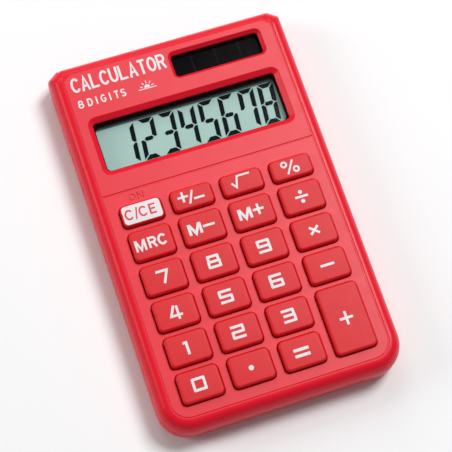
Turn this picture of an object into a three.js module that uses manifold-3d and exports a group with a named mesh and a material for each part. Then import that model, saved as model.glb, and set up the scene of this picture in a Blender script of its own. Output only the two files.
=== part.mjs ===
// Pocket calculator with a solar cell and a button cell, eight digits and twenty-three keys.
// Millimetres. The calculator lies on its back: +Z out of the face, +Y towards the display,
// +X to the right. The origin is in the middle of the underside.

import * as THREE from "three";
import { mergeVertices } from "three/addons/utils/BufferGeometryUtils.js";
import Module from "manifold-3d";

const wasm = await Module();
wasm.setup();

// ---------------------------------------------------------------- driving dimensions

// Fits
const GAP = 0.05; // between flat pieces stacked on each other
const FIT = 0.15; // around a piece held inside a frame
const CUT = 1; // how far a cutter runs past the face it cuts

// Case
const WALL = 1.5;
const FLOOR = 1.4;
const FACE_THICKNESS = 1.6;
const SHOULDER_RUN = 2.8; // how far the shoulder slopes out beyond the flat face
const SHOULDER_DROP = 4.35; // from the face down to the seam
const REAR_RUN = 2.6; // how far the rear shell rounds in towards the underside
const REAR_RISE = 2.9;
const LOWER_CORNER_RADIUS = 7.6;
const TOP_CHAMFER_X = 2.5;
const TOP_CHAMFER_Y = 1.8;
const LIP_INSET = 0.85; // of the rear shell's lip from the side of the case
const LIP_THICKNESS = 0.6;
const LIP_HEIGHT = 0.8;
const GROOVE_INSET = 3.0; // of the face's border groove from the side of the case
const GROOVE_WIDTH = 0.4;
const GROOVE_DEPTH = 0.35;

// Keypad
const KEY_HOLE_WIDTH = 10.55;
const KEY_HOLE_LENGTH = 7.9;
const TOP_ROW_LENGTH = 5.82; // the row under the display has shorter keys
const COLUMN_GAP = 1.95;
const ROW_GAP = 1.0;
const KEY_CORNER_RADIUS = 1.4;
const KEY_CLEARANCE = 0.17;
const KEY_PROUD = 1.5;
const KEY_EDGE_RADIUS = 0.55;
const KEY_WALL = 1.2;
const FLANGE_THICKNESS = 0.8;
const FLANGE_SPACING = 0.4; // left between the flanges of two neighbouring keys
const PLUNGER_RADIUS = 1.5;

// Rubber dome sheet and circuit board
const SHEET_THICKNESS = 0.6;
const DOME_RISE = 1.6;
const DOME_BASE_RADIUS = 2.7;
const DOME_TOP_RADIUS = 1.9;
const DOME_WALL = 0.5;
const BOARD_THICKNESS = 1.0;
const BOARD_ROOM = 0.5; // between the board and the side walls

// Face, from the keypad up to the top end
const DIVIDER_RISE = 3.55; // from the top row's holes to the divider groove
const DISPLAY_RISE = 4.9; // from the divider groove to the display opening
const DISPLAY_LENGTH = 15.2;
const DISPLAY_OVERHANG = 0.375; // how far the display reaches past the outer keys
const DISPLAY_SLOPE = 1.2;
const SOLAR_RISE = 3.7; // from the display opening to the solar opening
const SOLAR_LENGTH = 7.2;
const SOLAR_WIDTH = 24;
const SOLAR_INSET = 0.9; // of its right edge from the display's right edge
const SOLAR_SLOPE = 0.7;
const TOP_MARGIN = 4.3;
const BEZEL_DEPTH = 0.9;
const OPENING_RADIUS = 0.9;

// Windows, liquid crystal panel and solar cell
const WINDOW_THICKNESS = 0.8;
const WINDOW_LEDGE = 0.9; // how far a window reaches under the face around its opening
const FILM_THICKNESS = 0.2;
const GLASS_THICKNESS = 0.7;
const GLASS_LEDGE = 1.5; // how far the panel's glass reaches under the face
const CONTACT_LEDGE = 2.5; // of the front glass beyond the rear glass, towards the keys
const SOLAR_CELL_THICKNESS = 1.1;
const FRAME_RIB = 0.8;
const FRAME_RIB_DROP = 2.2;

// Screws and bosses
const CASE_BOSS_RADIUS = 1.75;
const BOARD_BOSS_RADIUS = 1.3;
const BOSS_ROOM = 0.5; // between a boss and the side wall
const SCREW_CLEARANCE = 0.2;
const SCREW_END_ROOM = 0.4;
const COUNTERBORE_DEPTH = 1.5;
const CASE_SCREW = { radius: 0.8, headRadius: 1.5, headHeight: 0.8 };
const BOARD_SCREW = { radius: 0.6, headRadius: 1.2, headHeight: 0.7 };
const SLOT_WIDTH = 0.4;
const SLOT_DEPTH = 0.35;

// Battery, contacts, leads and components
const CELL_RADIUS = 5.8;
const CELL_CAP_RADIUS = 4.6;
const CELL_HEIGHT = 3.05;
const CELL_STEP = 0.35; // of the negative cap out of the can
const CELL_FROM_LEFT = 14;
const POCKET_WALL = 0.8;
const POCKET_HEIGHT = 1.8;
const CONTACT_THICKNESS = 0.25;
const CONTACT_WIDTH = 3.4;
const CONTACT_SPACING = 4.4;
const CONTACT_TAIL = 2.2; // how far a contact reaches over or under the board
const LEAD_RADIUS = 0.4;
const LEAD_SPACING = 6;
const LEAD_TAIL = 2.5;
const CHIP_RADIUS = 4.5;
const CHIP_HEIGHT = 1.2;
const CAPACITOR = { width: 3.5, length: 2.8, height: 1.6 };
const RESISTOR = { width: 3.2, length: 1.6, height: 0.6 };
const DIODE = { width: 2.0, length: 1.25, height: 0.9 };

// ---------------------------------------------------------------- worked-out dimensions

const columnPitch = KEY_HOLE_WIDTH + COLUMN_GAP;
const rowPitch = KEY_HOLE_LENGTH + ROW_GAP;
const flangeOverhang = (Math.min(ROW_GAP, COLUMN_GAP) - FLANGE_SPACING) / 2;

// Outside the keypad there is just room for a row of bosses and the side wall
const keypadWidth = 3 * columnPitch + KEY_HOLE_WIDTH;
const bossX = keypadWidth / 2 + flangeOverhang + FIT + CASE_BOSS_RADIUS;
const halfWidth = bossX + CASE_BOSS_RADIUS + BOSS_ROOM + WALL;
const keypadMargin = halfWidth - keypadWidth / 2;

// Heights, from the underside up: the board lies level with the top of the battery
const cellBottom = FLOOR + CONTACT_THICKNESS + 2 * GAP;
const cellTop = cellBottom + CELL_HEIGHT;
const boardTop = cellTop + 3 * GAP;
const boardBottom = boardTop - BOARD_THICKNESS;
const sheetBottom = boardTop + GAP;
const sheetTop = sheetBottom + SHEET_THICKNESS;
const domeTop = sheetTop + DOME_RISE;
const flangeBottom = domeTop + 2 * GAP;
const flangeTop = flangeBottom + FLANGE_THICKNESS;
const ceiling = flangeTop + 2 * GAP;
const faceHeight = ceiling + FACE_THICKNESS;
const seamHeight = faceHeight - SHOULDER_DROP;
const keyTop = faceHeight + KEY_PROUD;

// Places along the case, counted first from its lower end and then from its middle
const bottomRowAt = keypadMargin + KEY_HOLE_LENGTH / 2;
const topRowAt = bottomRowAt + 4 * rowPitch + KEY_HOLE_LENGTH / 2 + ROW_GAP + TOP_ROW_LENGTH / 2;
const dividerAt = topRowAt + TOP_ROW_LENGTH / 2 + DIVIDER_RISE;
const displayAt = dividerAt + DISPLAY_RISE + DISPLAY_LENGTH / 2;
const solarAt = displayAt + DISPLAY_LENGTH / 2 + SOLAR_RISE + SOLAR_LENGTH / 2;
const halfLength = (solarAt + SOLAR_LENGTH / 2 + TOP_MARGIN) / 2;

const bottomRowY = bottomRowAt - halfLength;
const topRowY = topRowAt - halfLength;
const dividerY = dividerAt - halfLength;

// The two openings in the face, each given at the foot of its sloped bezel
const displayWidth = keypadWidth + 2 * DISPLAY_OVERHANG;
const display = {
  x: 0,
  y: displayAt - halfLength,
  width: displayWidth - 2 * DISPLAY_SLOPE,
  length: DISPLAY_LENGTH - 2 * DISPLAY_SLOPE,
  slope: DISPLAY_SLOPE,
};
const solar = {
  x: displayWidth / 2 - SOLAR_INSET - SOLAR_WIDTH / 2,
  y: solarAt - halfLength,
  width: SOLAR_WIDTH - 2 * SOLAR_SLOPE,
  length: SOLAR_LENGTH - 2 * SOLAR_SLOPE,
  slope: SOLAR_SLOPE,
};

// Layers under the windows, from the top down
const windowTop = ceiling - GAP;
const windowBottom = windowTop - WINDOW_THICKNESS;
const filmTop = windowBottom - 2 * GAP;
const filmBottom = filmTop - FILM_THICKNESS;
const frontGlassTop = filmBottom - GAP;
const frontGlassBottom = frontGlassTop - GLASS_THICKNESS;
const rearGlassTop = frontGlassBottom - GAP;
const rearGlassBottom = rearGlassTop - GLASS_THICKNESS;
const reflectorTop = rearGlassBottom - GAP;

// The panel's rear glass and films, and the ledge of the front glass beyond them
const panel = {
  width: display.width + 2 * GLASS_LEDGE,
  low: display.y - display.length / 2 - GLASS_LEDGE,
  high: display.y + display.length / 2 + GLASS_LEDGE,
};
const ledgeLow = panel.low - CONTACT_LEDGE;
const boardHigh = panel.high;

const caseScrewYs = [
  LOWER_CORNER_RADIUS - halfLength,
  bottomRowY + 3.5 * rowPitch,
  halfLength - WALL - TOP_CHAMFER_Y - CASE_BOSS_RADIUS,
];
const boardScrewYs = [bottomRowY + 1.5 * rowPitch, dividerY - BOARD_BOSS_RADIUS - BOSS_ROOM];

const cell = { x: CELL_FROM_LEFT - halfWidth, y: halfLength - WALL - CELL_RADIUS - 2 * FIT };

// ---------------------------------------------------------------- finishes

const finish = (color, roughness, metalness = 0) => ({ color, roughness, metalness });
const FINISHES = {
  caseRed: finish(0xe8303c, 0.42),
  keyRed: finish(0xdf2834, 0.5),
  keyWhite: finish(0xf3f1f0, 0.45),
  clear: finish(0xdfe6e4, 0.08),
  film: finish(0x8fb3a6, 0.2),
  glass: finish(0xa9c6ba, 0.1),
  reflector: finish(0xaebfb4, 0.4, 0.3),
  rubber: finish(0xb9bdb8, 0.8),
  solar: finish(0x0c0a10, 0.15),
  board: finish(0x2f6b3c, 0.5),
  epoxy: finish(0x111111, 0.4),
  ceramic: finish(0xb08a5a, 0.5),
  steel: finish(0xb9bcc0, 0.3, 1),
  springSteel: finish(0xc9ccd0, 0.25, 1),
  wireRed: finish(0xb01818, 0.5),
  wireBlack: finish(0x1a1a1a, 0.5),
};

// ---------------------------------------------------------------- shapes and solids

/** A rectangle about (x, y) with its four corners rounded. */
function roundedRectangle(x, y, width, length, radius) {
  return outline(x - width / 2, x + width / 2, y - length / 2, y + length / 2, radius, radius);
}

/** A rectangle between four sides, with one radius for the lower corners and one for the upper. */
function outline(left, right, low, high, lowRadius, highRadius) {
  const shape = new THREE.Shape();
  shape.moveTo(left + lowRadius, low);
  shape.lineTo(right - lowRadius, low);
  corner(shape, right - lowRadius, low + lowRadius, lowRadius, -Math.PI / 2);
  shape.lineTo(right, high - highRadius);
  corner(shape, right - highRadius, high - highRadius, highRadius, 0);
  shape.lineTo(left + highRadius, high);
  corner(shape, left + highRadius, high - highRadius, highRadius, Math.PI / 2);
  shape.lineTo(left, low + lowRadius);
  corner(shape, left + lowRadius, low + lowRadius, lowRadius, Math.PI);
  return shape;
}

/** A quarter turn, counter-clockwise from the given angle; a sharp corner needs none. */
function corner(shape, x, y, radius, from) {
  if (radius > 0) {
    shape.absarc(x, y, radius, from, from + Math.PI / 2, false);
  }
}

/** A three.js geometry as a manifold solid. */
function solid(geometry) {
  geometry.deleteAttribute("normal");
  geometry.deleteAttribute("uv");
  const merged = mergeVertices(geometry, 1e-4);
  return new wasm.Manifold(
    new wasm.Mesh({
      numProp: 3,
      vertProperties: new Float32Array(merged.attributes.position.array),
      triVerts: new Uint32Array(merged.index.array),
    }),
  );
}

/** A straight prism of a shape between two heights. */
function prism(shape, low, high, curveSegments = 1) {
  const options = { depth: high - low, bevelEnabled: false, curveSegments };
  const geometry = new THREE.ExtrudeGeometry(shape, options);
  return solid(geometry.translate(0, 0, low));
}

/**
 * A prism that widens from the shape at both ends by `run` over a height of `rise`:
 * in one straight slope, or rounded where there is more than one segment.
 */
function pillow(shape, low, high, run, rise, segments, curveSegments) {
  const geometry = new THREE.ExtrudeGeometry(shape, {
    depth: high - low - 2 * rise,
    bevelEnabled: true,
    bevelSize: run,
    bevelThickness: rise,
    bevelSegments: segments,
    curveSegments,
  });
  return solid(geometry.translate(0, 0, low + rise));
}

/** An upright cylinder, or a cone where the two radii differ. */
function cylinder(x, y, low, high, radius, topRadius = radius, sides = 12) {
  const geometry = new THREE.CylinderGeometry(topRadius, radius, high - low, sides);
  geometry.rotateX(Math.PI / 2);
  return solid(geometry.translate(x, y, (low + high) / 2));
}

/** A box from its lowest corner to its highest. */
function box(x0, x1, y0, y1, z0, z1) {
  const geometry = new THREE.BoxGeometry(x1 - x0, y1 - y0, z1 - z0);
  return solid(geometry.translate((x0 + x1) / 2, (y0 + y1) / 2, (z0 + z1) / 2));
}

const join = (first, ...rest) => rest.reduce((whole, piece) => whole.add(piece), first);
const cut = (first, ...rest) => rest.reduce((whole, piece) => whole.subtract(piece), first);

const calculator = new THREE.Group();

/** Adds a solid to the calculator as a named mesh with its own material. */
function addPiece(name, body, finishName) {
  const { vertProperties, triVerts, numProp } = body.getMesh();
  const positions = new Float32Array((vertProperties.length / numProp) * 3);
  for (let i = 0; i < positions.length / 3; i += 1) {
    positions.set(vertProperties.subarray(i * numProp, i * numProp + 3), i * 3);
  }
  const geometry = new THREE.BufferGeometry();
  geometry.setAttribute("position", new THREE.BufferAttribute(positions, 3));
  geometry.setIndex(new THREE.BufferAttribute(new Uint32Array(triVerts), 1));
  geometry.computeVertexNormals();
  const mesh = new THREE.Mesh(geometry, new THREE.MeshStandardMaterial(FINISHES[finishName]));
  mesh.name = name;
  calculator.add(mesh);
}

// ---------------------------------------------------------------- case

// Steps round the case's corners and over its shoulders
const CASE_CURVE = 3;
const SHOULDER_STEPS = 4;
const REAR_STEPS = 3;

/** The outline of the case, drawn in by `inset` on every side. */
function caseOutline(inset) {
  const x = halfWidth - inset;
  const y = halfLength - inset;
  return outline(-x, x, -y, y, LOWER_CORNER_RADIUS - inset, 0);
}

/** The two wedges that chamfer the top corners, drawn in by `inset`. */
function topChamfers(inset) {
  const wedge = (side) => {
    const x = halfWidth - inset;
    const y = halfLength - inset;
    const shape = new THREE.Shape();
    shape.moveTo(side * (x + TOP_CHAMFER_X), y - 2 * TOP_CHAMFER_Y);
    shape.lineTo(side * (x + TOP_CHAMFER_X), y + TOP_CHAMFER_Y);
    shape.lineTo(side * (x - 2 * TOP_CHAMFER_X), y + TOP_CHAMFER_Y);
    return prism(shape, -CUT, faceHeight + CUT);
  };
  return join(wedge(-1), wedge(1));
}

/** The form above the seam, `inset` within the sides and `below` under the face. */
function upperForm(inset, below) {
  const run = SHOULDER_RUN - inset / 2;
  const top = faceHeight - below;
  const rise = top - seamHeight;
  const shape = caseOutline(inset + run);
  return cut(
    pillow(shape, seamHeight - CUT - rise, top, run, rise, SHOULDER_STEPS, CASE_CURVE),
    box(-2 * halfWidth, 2 * halfWidth, -2 * halfLength, 2 * halfLength, -2 * faceHeight, seamHeight),
    topChamfers(inset),
  );
}

/** The form below the seam, `inset` within the sides and `above` over the underside. */
function lowerForm(inset, above) {
  const run = REAR_RUN - inset / 2;
  const rise = REAR_RISE - above / 2;
  const shape = caseOutline(inset + run);
  return cut(
    pillow(shape, above, seamHeight + CUT + rise, run, rise, REAR_STEPS, CASE_CURVE),
    box(-2 * halfWidth, 2 * halfWidth, -2 * halfLength, 2 * halfLength, seamHeight, 2 * faceHeight),
    topChamfers(inset),
  );
}

/** A wall that follows the case from one inset to another, between two heights. */
function caseRing(outerInset, innerInset, low, high) {
  return cut(
    prism(caseOutline(outerInset), low, high, CASE_CURVE),
    topChamfers(outerInset),
    cut(prism(caseOutline(innerInset), low - CUT, high + CUT, CASE_CURVE), topChamfers(innerInset)),
  );
}

/** The cutter for an opening with a sloped bezel. */
function openingCutter({ x, y, width, length, slope }) {
  const shape = roundedRectangle(x, y, width, length, OPENING_RADIUS);
  const low = faceHeight - BEZEL_DEPTH;
  return join(
    prism(shape, ceiling - CUT, faceHeight + CUT),
    pillow(shape, low, faceHeight + BEZEL_DEPTH + CUT, slope, BEZEL_DEPTH, 1, 1),
  );
}

/** The groove round the sides and lower end of the face, which runs out over the top end. */
function borderGroove() {
  const strip = (inset) => {
    const x = halfWidth - inset;
    const radius = LOWER_CORNER_RADIUS - inset;
    return outline(-x, x, inset - halfLength, halfLength + inset, radius, 0);
  };
  return cut(
    prism(strip(GROOVE_INSET), seamHeight, faceHeight + CUT, CASE_CURVE),
    prism(strip(GROOVE_INSET + GROOVE_WIDTH), seamHeight - CUT, faceHeight + 2 * CUT, CASE_CURVE),
    upperForm(GROOVE_DEPTH, GROOVE_DEPTH),
  );
}

/** A rectangular rib under the face that locates a window and what lies behind it. */
function locatingFrame(x, width, low, high) {
  const frame = (grow, drop) => {
    const length = high - low + 2 * grow;
    const shape = roundedRectangle(x, (low + high) / 2, width + 2 * grow, length, 0);
    return prism(shape, ceiling - FRAME_RIB_DROP - drop, ceiling);
  };
  return cut(frame(FIT + FRAME_RIB, 0), frame(FIT, CUT));
}

/** Every place with the same screw on both sides of the case. */
const bothSides = (ys) => ys.flatMap((y) => [[-bossX, y], [bossX, y]]);

function frontShell() {
  const divider = halfWidth - GROOVE_INSET - GROOVE_WIDTH;
  let shell = cut(
    upperForm(0, 0),
    upperForm(WALL, FACE_THICKNESS),
    caseRing(LIP_INSET - FIT, WALL + CUT, seamHeight - CUT, seamHeight + LIP_HEIGHT + GAP),
    borderGroove(),
    box(-divider, divider, dividerY - GROOVE_WIDTH / 2, dividerY + GROOVE_WIDTH / 2,
      faceHeight - GROOVE_DEPTH, faceHeight + CUT),
    openingCutter(display),
    openingCutter(solar),
    ...KEYS.map((key) => prism(keyOutline(key, 0), ceiling - CUT, faceHeight + CUT)),
  );
  const inside = cut(
    join(
      locatingFrame(display.x, panel.width, ledgeLow, panel.high),
      locatingFrame(
        solar.x, solar.width + 2 * WINDOW_LEDGE,
        solar.y - solar.length / 2 - WINDOW_LEDGE, solar.y + solar.length / 2 + WINDOW_LEDGE,
      ),
      ...bothSides(caseScrewYs).map(([x, y]) =>
        cylinder(x, y, boardTop, ceiling, CASE_BOSS_RADIUS)),
      ...bothSides(boardScrewYs).map(([x, y]) =>
        cylinder(x, y, boardTop + GAP, ceiling, BOARD_BOSS_RADIUS)),
    ),
    ...pilotHoles(caseScrewYs, CASE_SCREW),
    ...pilotHoles(boardScrewYs, BOARD_SCREW),
  );
  // The ribs sink a little way into the face, so that they are one body with it
  return join(shell, inside.translate(0, 0, GAP));
}

/** Blind holes for the screws, in the bosses under the face. */
function pilotHoles(ys, screw) {
  const radius = screw.radius + SCREW_CLEARANCE;
  return bothSides(ys).map(([x, y]) =>
    cylinder(x, y, boardTop - CUT, ceiling - SCREW_END_ROOM, radius));
}

function rearShell() {
  const lipInner = LIP_INSET + LIP_THICKNESS;
  const shankHole = CASE_SCREW.radius + SCREW_CLEARANCE;
  const headHole = CASE_SCREW.headRadius + SCREW_CLEARANCE;
  const pocket = CELL_RADIUS + FIT;
  const slotX = cell.x + CONTACT_SPACING / 2;
  const slotHalf = CONTACT_WIDTH / 2 + FIT;
  return cut(
    join(
      cut(lowerForm(0, 0), lowerForm(WALL, FLOOR)),
      caseRing(LIP_INSET, lipInner, seamHeight - LIP_HEIGHT, seamHeight + LIP_HEIGHT),
      cylinder(cell.x, cell.y, FLOOR / 2, FLOOR + POCKET_HEIGHT, pocket + POCKET_WALL,
        pocket + POCKET_WALL, 24),
      ...bothSides(caseScrewYs).map(([x, y]) =>
        cylinder(x, y, FLOOR / 2, boardTop - 2 * GAP, CASE_BOSS_RADIUS)),
    ),
    cylinder(cell.x, cell.y, FLOOR, boardTop, pocket, pocket, 24),
    box(slotX - slotHalf, slotX + slotHalf, boardHigh, cell.y, FLOOR, boardTop),
    ...bothSides(caseScrewYs).flatMap(([x, y]) => [
      cylinder(x, y, -CUT, boardTop + CUT, shankHole),
      cylinder(x, y, -CUT, COUNTERBORE_DEPTH, headHole),
    ]),
  );
}

// ---------------------------------------------------------------- keys

const COLUMNS = [-1.5, -0.5, 0.5, 1.5].map((place) => place * columnPitch);
const KEY_ROWS = [
  ["key_0", "key_point", "key_equals"],
  ["key_1", "key_2", "key_3"],
  ["key_4", "key_5", "key_6", "key_minus"],
  ["key_7", "key_8", "key_9", "key_multiply"],
  ["key_memory_recall", "key_memory_minus", "key_memory_plus", "key_divide"],
];
const TOP_ROW = ["key_on_clear", "key_change_sign", "key_square_root", "key_percent"];

/** Every key with the middle, width and length of its hole. */
const KEYS = [
  ...KEY_ROWS.flatMap((names, row) =>
    names.map((name, column) => ({
      name,
      x: COLUMNS[column],
      y: bottomRowY + row * rowPitch,
      length: KEY_HOLE_LENGTH,
    })),
  ),
  // The plus key is as tall as two rows
  { name: "key_plus", x: COLUMNS[3], y: bottomRowY + rowPitch / 2, length: KEY_HOLE_LENGTH + rowPitch },
  ...TOP_ROW.map((name, column) => ({
    name,
    x: COLUMNS[column],
    y: topRowY,
    length: TOP_ROW_LENGTH,
  })),
];

/** The outline of a key's hole, grown all round by `grow`, or drawn in where that is negative. */
function keyOutline({ x, y, length }, grow) {
  const radius = Math.max(KEY_CORNER_RADIUS + grow, 0.2);
  return roundedRectangle(x, y, KEY_HOLE_WIDTH + 2 * grow, length + 2 * grow, radius);
}

/** A hollow key cap with a flange that keeps it under the face and a plunger for its dome. */
function keyCap(key) {
  const cap = pillow(
    keyOutline(key, -KEY_CLEARANCE - KEY_EDGE_RADIUS),
    flangeBottom, keyTop, KEY_EDGE_RADIUS, KEY_EDGE_RADIUS, 2, 1,
  );
  const flange = prism(keyOutline(key, flangeOverhang), flangeBottom, flangeTop);
  const hollow = cut(
    prism(keyOutline(key, -KEY_CLEARANCE - KEY_WALL), flangeBottom - CUT, keyTop - KEY_WALL),
    cylinder(key.x, key.y, flangeBottom, keyTop, PLUNGER_RADIUS, PLUNGER_RADIUS, 8),
  );
  const underPlunger = cylinder(
    key.x, key.y, flangeBottom - 2 * CUT, flangeBottom, PLUNGER_RADIUS, PLUNGER_RADIUS, 8,
  );
  return cut(join(cap, flange), cut(hollow, underPlunger));
}

// ---------------------------------------------------------------- dome sheet and board

function keypadSheet() {
  const half = bossX - CASE_BOSS_RADIUS - 2 * FIT;
  const low = bottomRowY - KEY_HOLE_LENGTH / 2;
  const high = topRowY + TOP_ROW_LENGTH / 2;
  const dome = (key, wall) =>
    cylinder(key.x, key.y, sheetBottom - (wall > 0 ? CUT : 0), domeTop - wall,
      DOME_BASE_RADIUS - wall, DOME_TOP_RADIUS - wall, 10);
  return cut(
    join(
      prism(outline(-half, half, low, high, 1, 1), sheetBottom, sheetTop),
      ...KEYS.map((key) => dome(key, 0)),
    ),
    ...KEYS.map((key) => dome(key, DOME_WALL)),
  );
}

function circuitBoard() {
  const inset = WALL + BOARD_ROOM;
  const x = halfWidth - inset;
  const radius = LOWER_CORNER_RADIUS - inset;
  const notch = CASE_BOSS_RADIUS + 2 * FIT;
  const hole = BOARD_SCREW.radius + SCREW_CLEARANCE;
  return cut(
    prism(outline(-x, x, inset - halfLength, boardHigh, radius, 0.5), boardBottom, boardTop, CASE_CURVE),
    ...bothSides(caseScrewYs).map(([px, y]) =>
      cylinder(px, y, boardBottom - CUT, boardTop + CUT, notch)),
    ...bothSides(boardScrewYs).map(([px, y]) =>
      cylinder(px, y, boardBottom - CUT, boardTop + CUT, hole)),
  );
}

/** The drop of black epoxy over the chip, hanging under the board. */
function chipBlob() {
  const profile = [new THREE.Vector2(0, 0)];
  for (let step = 0; step <= 3; step += 1) {
    const angle = (step / 3) * (Math.PI / 2);
    const x = step === 3 ? 0 : CHIP_RADIUS * Math.cos(angle);
    profile.push(new THREE.Vector2(x, -CHIP_HEIGHT * Math.sin(angle)));
  }
  const geometry = new THREE.LatheGeometry(profile.reverse(), 12).rotateX(Math.PI / 2);
  return solid(geometry.translate(-columnPitch / 2, bottomRowY + 4 * rowPitch, boardBottom - GAP));
}

/** A small boxed component under the board. */
function component(x, row, { width, length, height }) {
  const y = bottomRowY + row * rowPitch;
  const top = boardBottom - GAP;
  return box(x - width / 2, x + width / 2, y - length / 2, y + length / 2, top - height, top);
}

// ---------------------------------------------------------------- display and solar cell

/** A clear window under an opening. */
function windowPlate({ x, y, width, length }) {
  const shape = roundedRectangle(
    x, y, width + 2 * WINDOW_LEDGE, length + 2 * WINDOW_LEDGE, OPENING_RADIUS,
  );
  return prism(shape, windowBottom, windowTop);
}

/** One layer of the display panel. */
function panelLayer(low, bottom, top) {
  return box(-panel.width / 2, panel.width / 2, low, panel.high, bottom, top);
}

/** The strip of layered rubber that joins the front glass to the board. */
function panelConnector() {
  const half = panel.width / 2 - GLASS_LEDGE;
  return box(-half, half, ledgeLow + FIT, panel.low - 2 * FIT, boardTop + GAP, frontGlassBottom - GAP);
}

const solarCellTop = windowBottom - 2 * GAP;
const solarCellBottom = solarCellTop - SOLAR_CELL_THICKNESS;

function solarCell() {
  const halfX = solar.width / 2 + WINDOW_LEDGE;
  const halfY = solar.length / 2 + WINDOW_LEDGE;
  return box(
    solar.x - halfX, solar.x + halfX, solar.y - halfY, solar.y + halfY, solarCellBottom, solarCellTop,
  );
}

/** A lead from the back of the solar cell, past the edge of the board, to its underside. */
function solarLead(x) {
  const high = solarCellBottom - 4 * GAP - LEAD_RADIUS;
  const low = boardBottom - GAP - LEAD_RADIUS;
  const route = new THREE.CatmullRomCurve3([
    new THREE.Vector3(x, solar.y, high),
    new THREE.Vector3(x, boardHigh + 7 * LEAD_RADIUS, high),
    new THREE.Vector3(x, boardHigh + 4 * LEAD_RADIUS, (high + low) / 2),
    new THREE.Vector3(x, boardHigh + LEAD_RADIUS, low - LEAD_RADIUS),
    new THREE.Vector3(x, boardHigh - LEAD_TAIL, low),
  ], false, "centripetal");
  const section = new THREE.Shape();
  section.absarc(0, 0, LEAD_RADIUS, 0, 2 * Math.PI, false);
  const geometry = new THREE.ExtrudeGeometry(section, {
    steps: 12,
    extrudePath: route,
    curveSegments: 4,
  });
  return solid(geometry);
}

// ---------------------------------------------------------------- battery

/** A button cell, negative cap down. */
function buttonCell() {
  const profile = [
    [0, 0], [CELL_CAP_RADIUS, 0], [CELL_CAP_RADIUS, CELL_STEP],
    [CELL_RADIUS, CELL_STEP], [CELL_RADIUS, CELL_HEIGHT], [0, CELL_HEIGHT],
  ].map(([radius, height]) => new THREE.Vector2(radius, height));
  const geometry = new THREE.LatheGeometry(profile, 24).rotateX(Math.PI / 2);
  return solid(geometry.translate(cell.x, cell.y, cellBottom));
}

/** The strip under the cell, turned up at its end to meet the underside of the board. */
function negativeContact() {
  const x = cell.x + CONTACT_SPACING / 2;
  const left = x - CONTACT_WIDTH / 2;
  const right = x + CONTACT_WIDTH / 2;
  const end = boardHigh - CONTACT_TAIL;
  const bottom = FLOOR + GAP;
  const top = bottom + CONTACT_THICKNESS;
  return join(
    box(left, right, end, cell.y, bottom, top),
    box(left, right, end, end + CONTACT_THICKNESS, bottom, boardBottom - GAP),
  );
}

/** The strip over the cell, which ends on top of the board. */
function positiveContact() {
  const x = cell.x - CONTACT_SPACING / 2;
  const bottom = boardTop + GAP;
  return box(
    x - CONTACT_WIDTH / 2, x + CONTACT_WIDTH / 2, boardHigh - CONTACT_TAIL, cell.y,
    bottom, bottom + CONTACT_THICKNESS / 2,
  );
}

// ---------------------------------------------------------------- screws

/** A screw driven upwards, with a cross recess in its head. */
function screw(x, y, headTop, end, { radius, headRadius, headHeight }) {
  const headBottom = headTop - headHeight;
  const reach = headRadius * 0.7;
  const recessTop = headBottom + SLOT_DEPTH;
  const half = SLOT_WIDTH / 2;
  return cut(
    join(
      cylinder(x, y, headBottom, headTop, headRadius * 0.8, headRadius),
      cylinder(x, y, headTop - GAP, end, radius, radius, 10),
    ),
    box(x - reach, x + reach, y - half, y + half, headBottom - CUT, recessTop),
    box(x - half, x + half, y - reach, y + reach, headBottom - CUT, recessTop),
  );
}

// ---------------------------------------------------------------- the calculator

addPiece("front_shell", frontShell(), "caseRed");
addPiece("rear_shell", rearShell(), "caseRed");

for (const key of KEYS) {
  addPiece(key.name, keyCap(key), key.name === "key_on_clear" ? "keyWhite" : "keyRed");
}
addPiece("keypad_sheet", keypadSheet(), "rubber");
addPiece("circuit_board", circuitBoard(), "board");
addPiece("calculator_chip", chipBlob(), "epoxy");
addPiece("reserve_capacitor", component(columnPitch, 4, CAPACITOR), "ceramic");
addPiece("timing_resistor", component(columnPitch / 2, 3, RESISTOR), "epoxy");
addPiece("clamp_diode", component(columnPitch, 3, DIODE), "epoxy");

addPiece("display_window", windowPlate(display), "clear");
addPiece("display_polarizer", panelLayer(panel.low, filmBottom, filmTop), "film");
addPiece("display_front_glass", panelLayer(ledgeLow, frontGlassBottom, frontGlassTop), "glass");
addPiece("display_rear_glass", panelLayer(panel.low, rearGlassBottom, rearGlassTop), "glass");
const reflectorBottom = reflectorTop - FILM_THICKNESS;
addPiece("display_reflector", panelLayer(panel.low, reflectorBottom, reflectorTop), "reflector");
addPiece("display_connector", panelConnector(), "rubber");

addPiece("solar_window", windowPlate(solar), "clear");
addPiece("solar_cell", solarCell(), "solar");
addPiece("solar_lead_positive", solarLead(solar.x - LEAD_SPACING / 2), "wireRed");
addPiece("solar_lead_negative", solarLead(solar.x + LEAD_SPACING / 2), "wireBlack");

addPiece("button_cell", buttonCell(), "steel");
addPiece("battery_contact_negative", negativeContact(), "springSteel");
addPiece("battery_contact_positive", positiveContact(), "springSteel");

bothSides(caseScrewYs).forEach(([x, y], index) => {
  const body = screw(x, y, COUNTERBORE_DEPTH - GAP, ceiling - 2 * SCREW_END_ROOM, CASE_SCREW);
  addPiece(`case_screw_${index + 1}`, body, "steel");
});
bothSides(boardScrewYs).forEach(([x, y], index) => {
  const body = screw(x, y, boardBottom - GAP, ceiling - 2 * SCREW_END_ROOM, BOARD_SCREW);
  addPiece(`board_screw_${index + 1}`, body, "steel");
});

export default calculator;
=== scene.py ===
"""The looks of a slim pocket calculator: shells, keys, display, solar cell and inner pieces.

Lengths are in millimetres until a mesh is made, which is in metres. +Z points out of the face,
+Y towards the display, and +X to the right as the keys are read.
"""

import logging
import math
from collections.abc import Callable, Sequence
from dataclasses import dataclass, field
from enum import Enum
from functools import cached_property

import bmesh
import bpy
from mathutils import Matrix, Vector
from mathutils.geometry import delaunay_2d_cdt, tessellate_polygon


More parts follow.
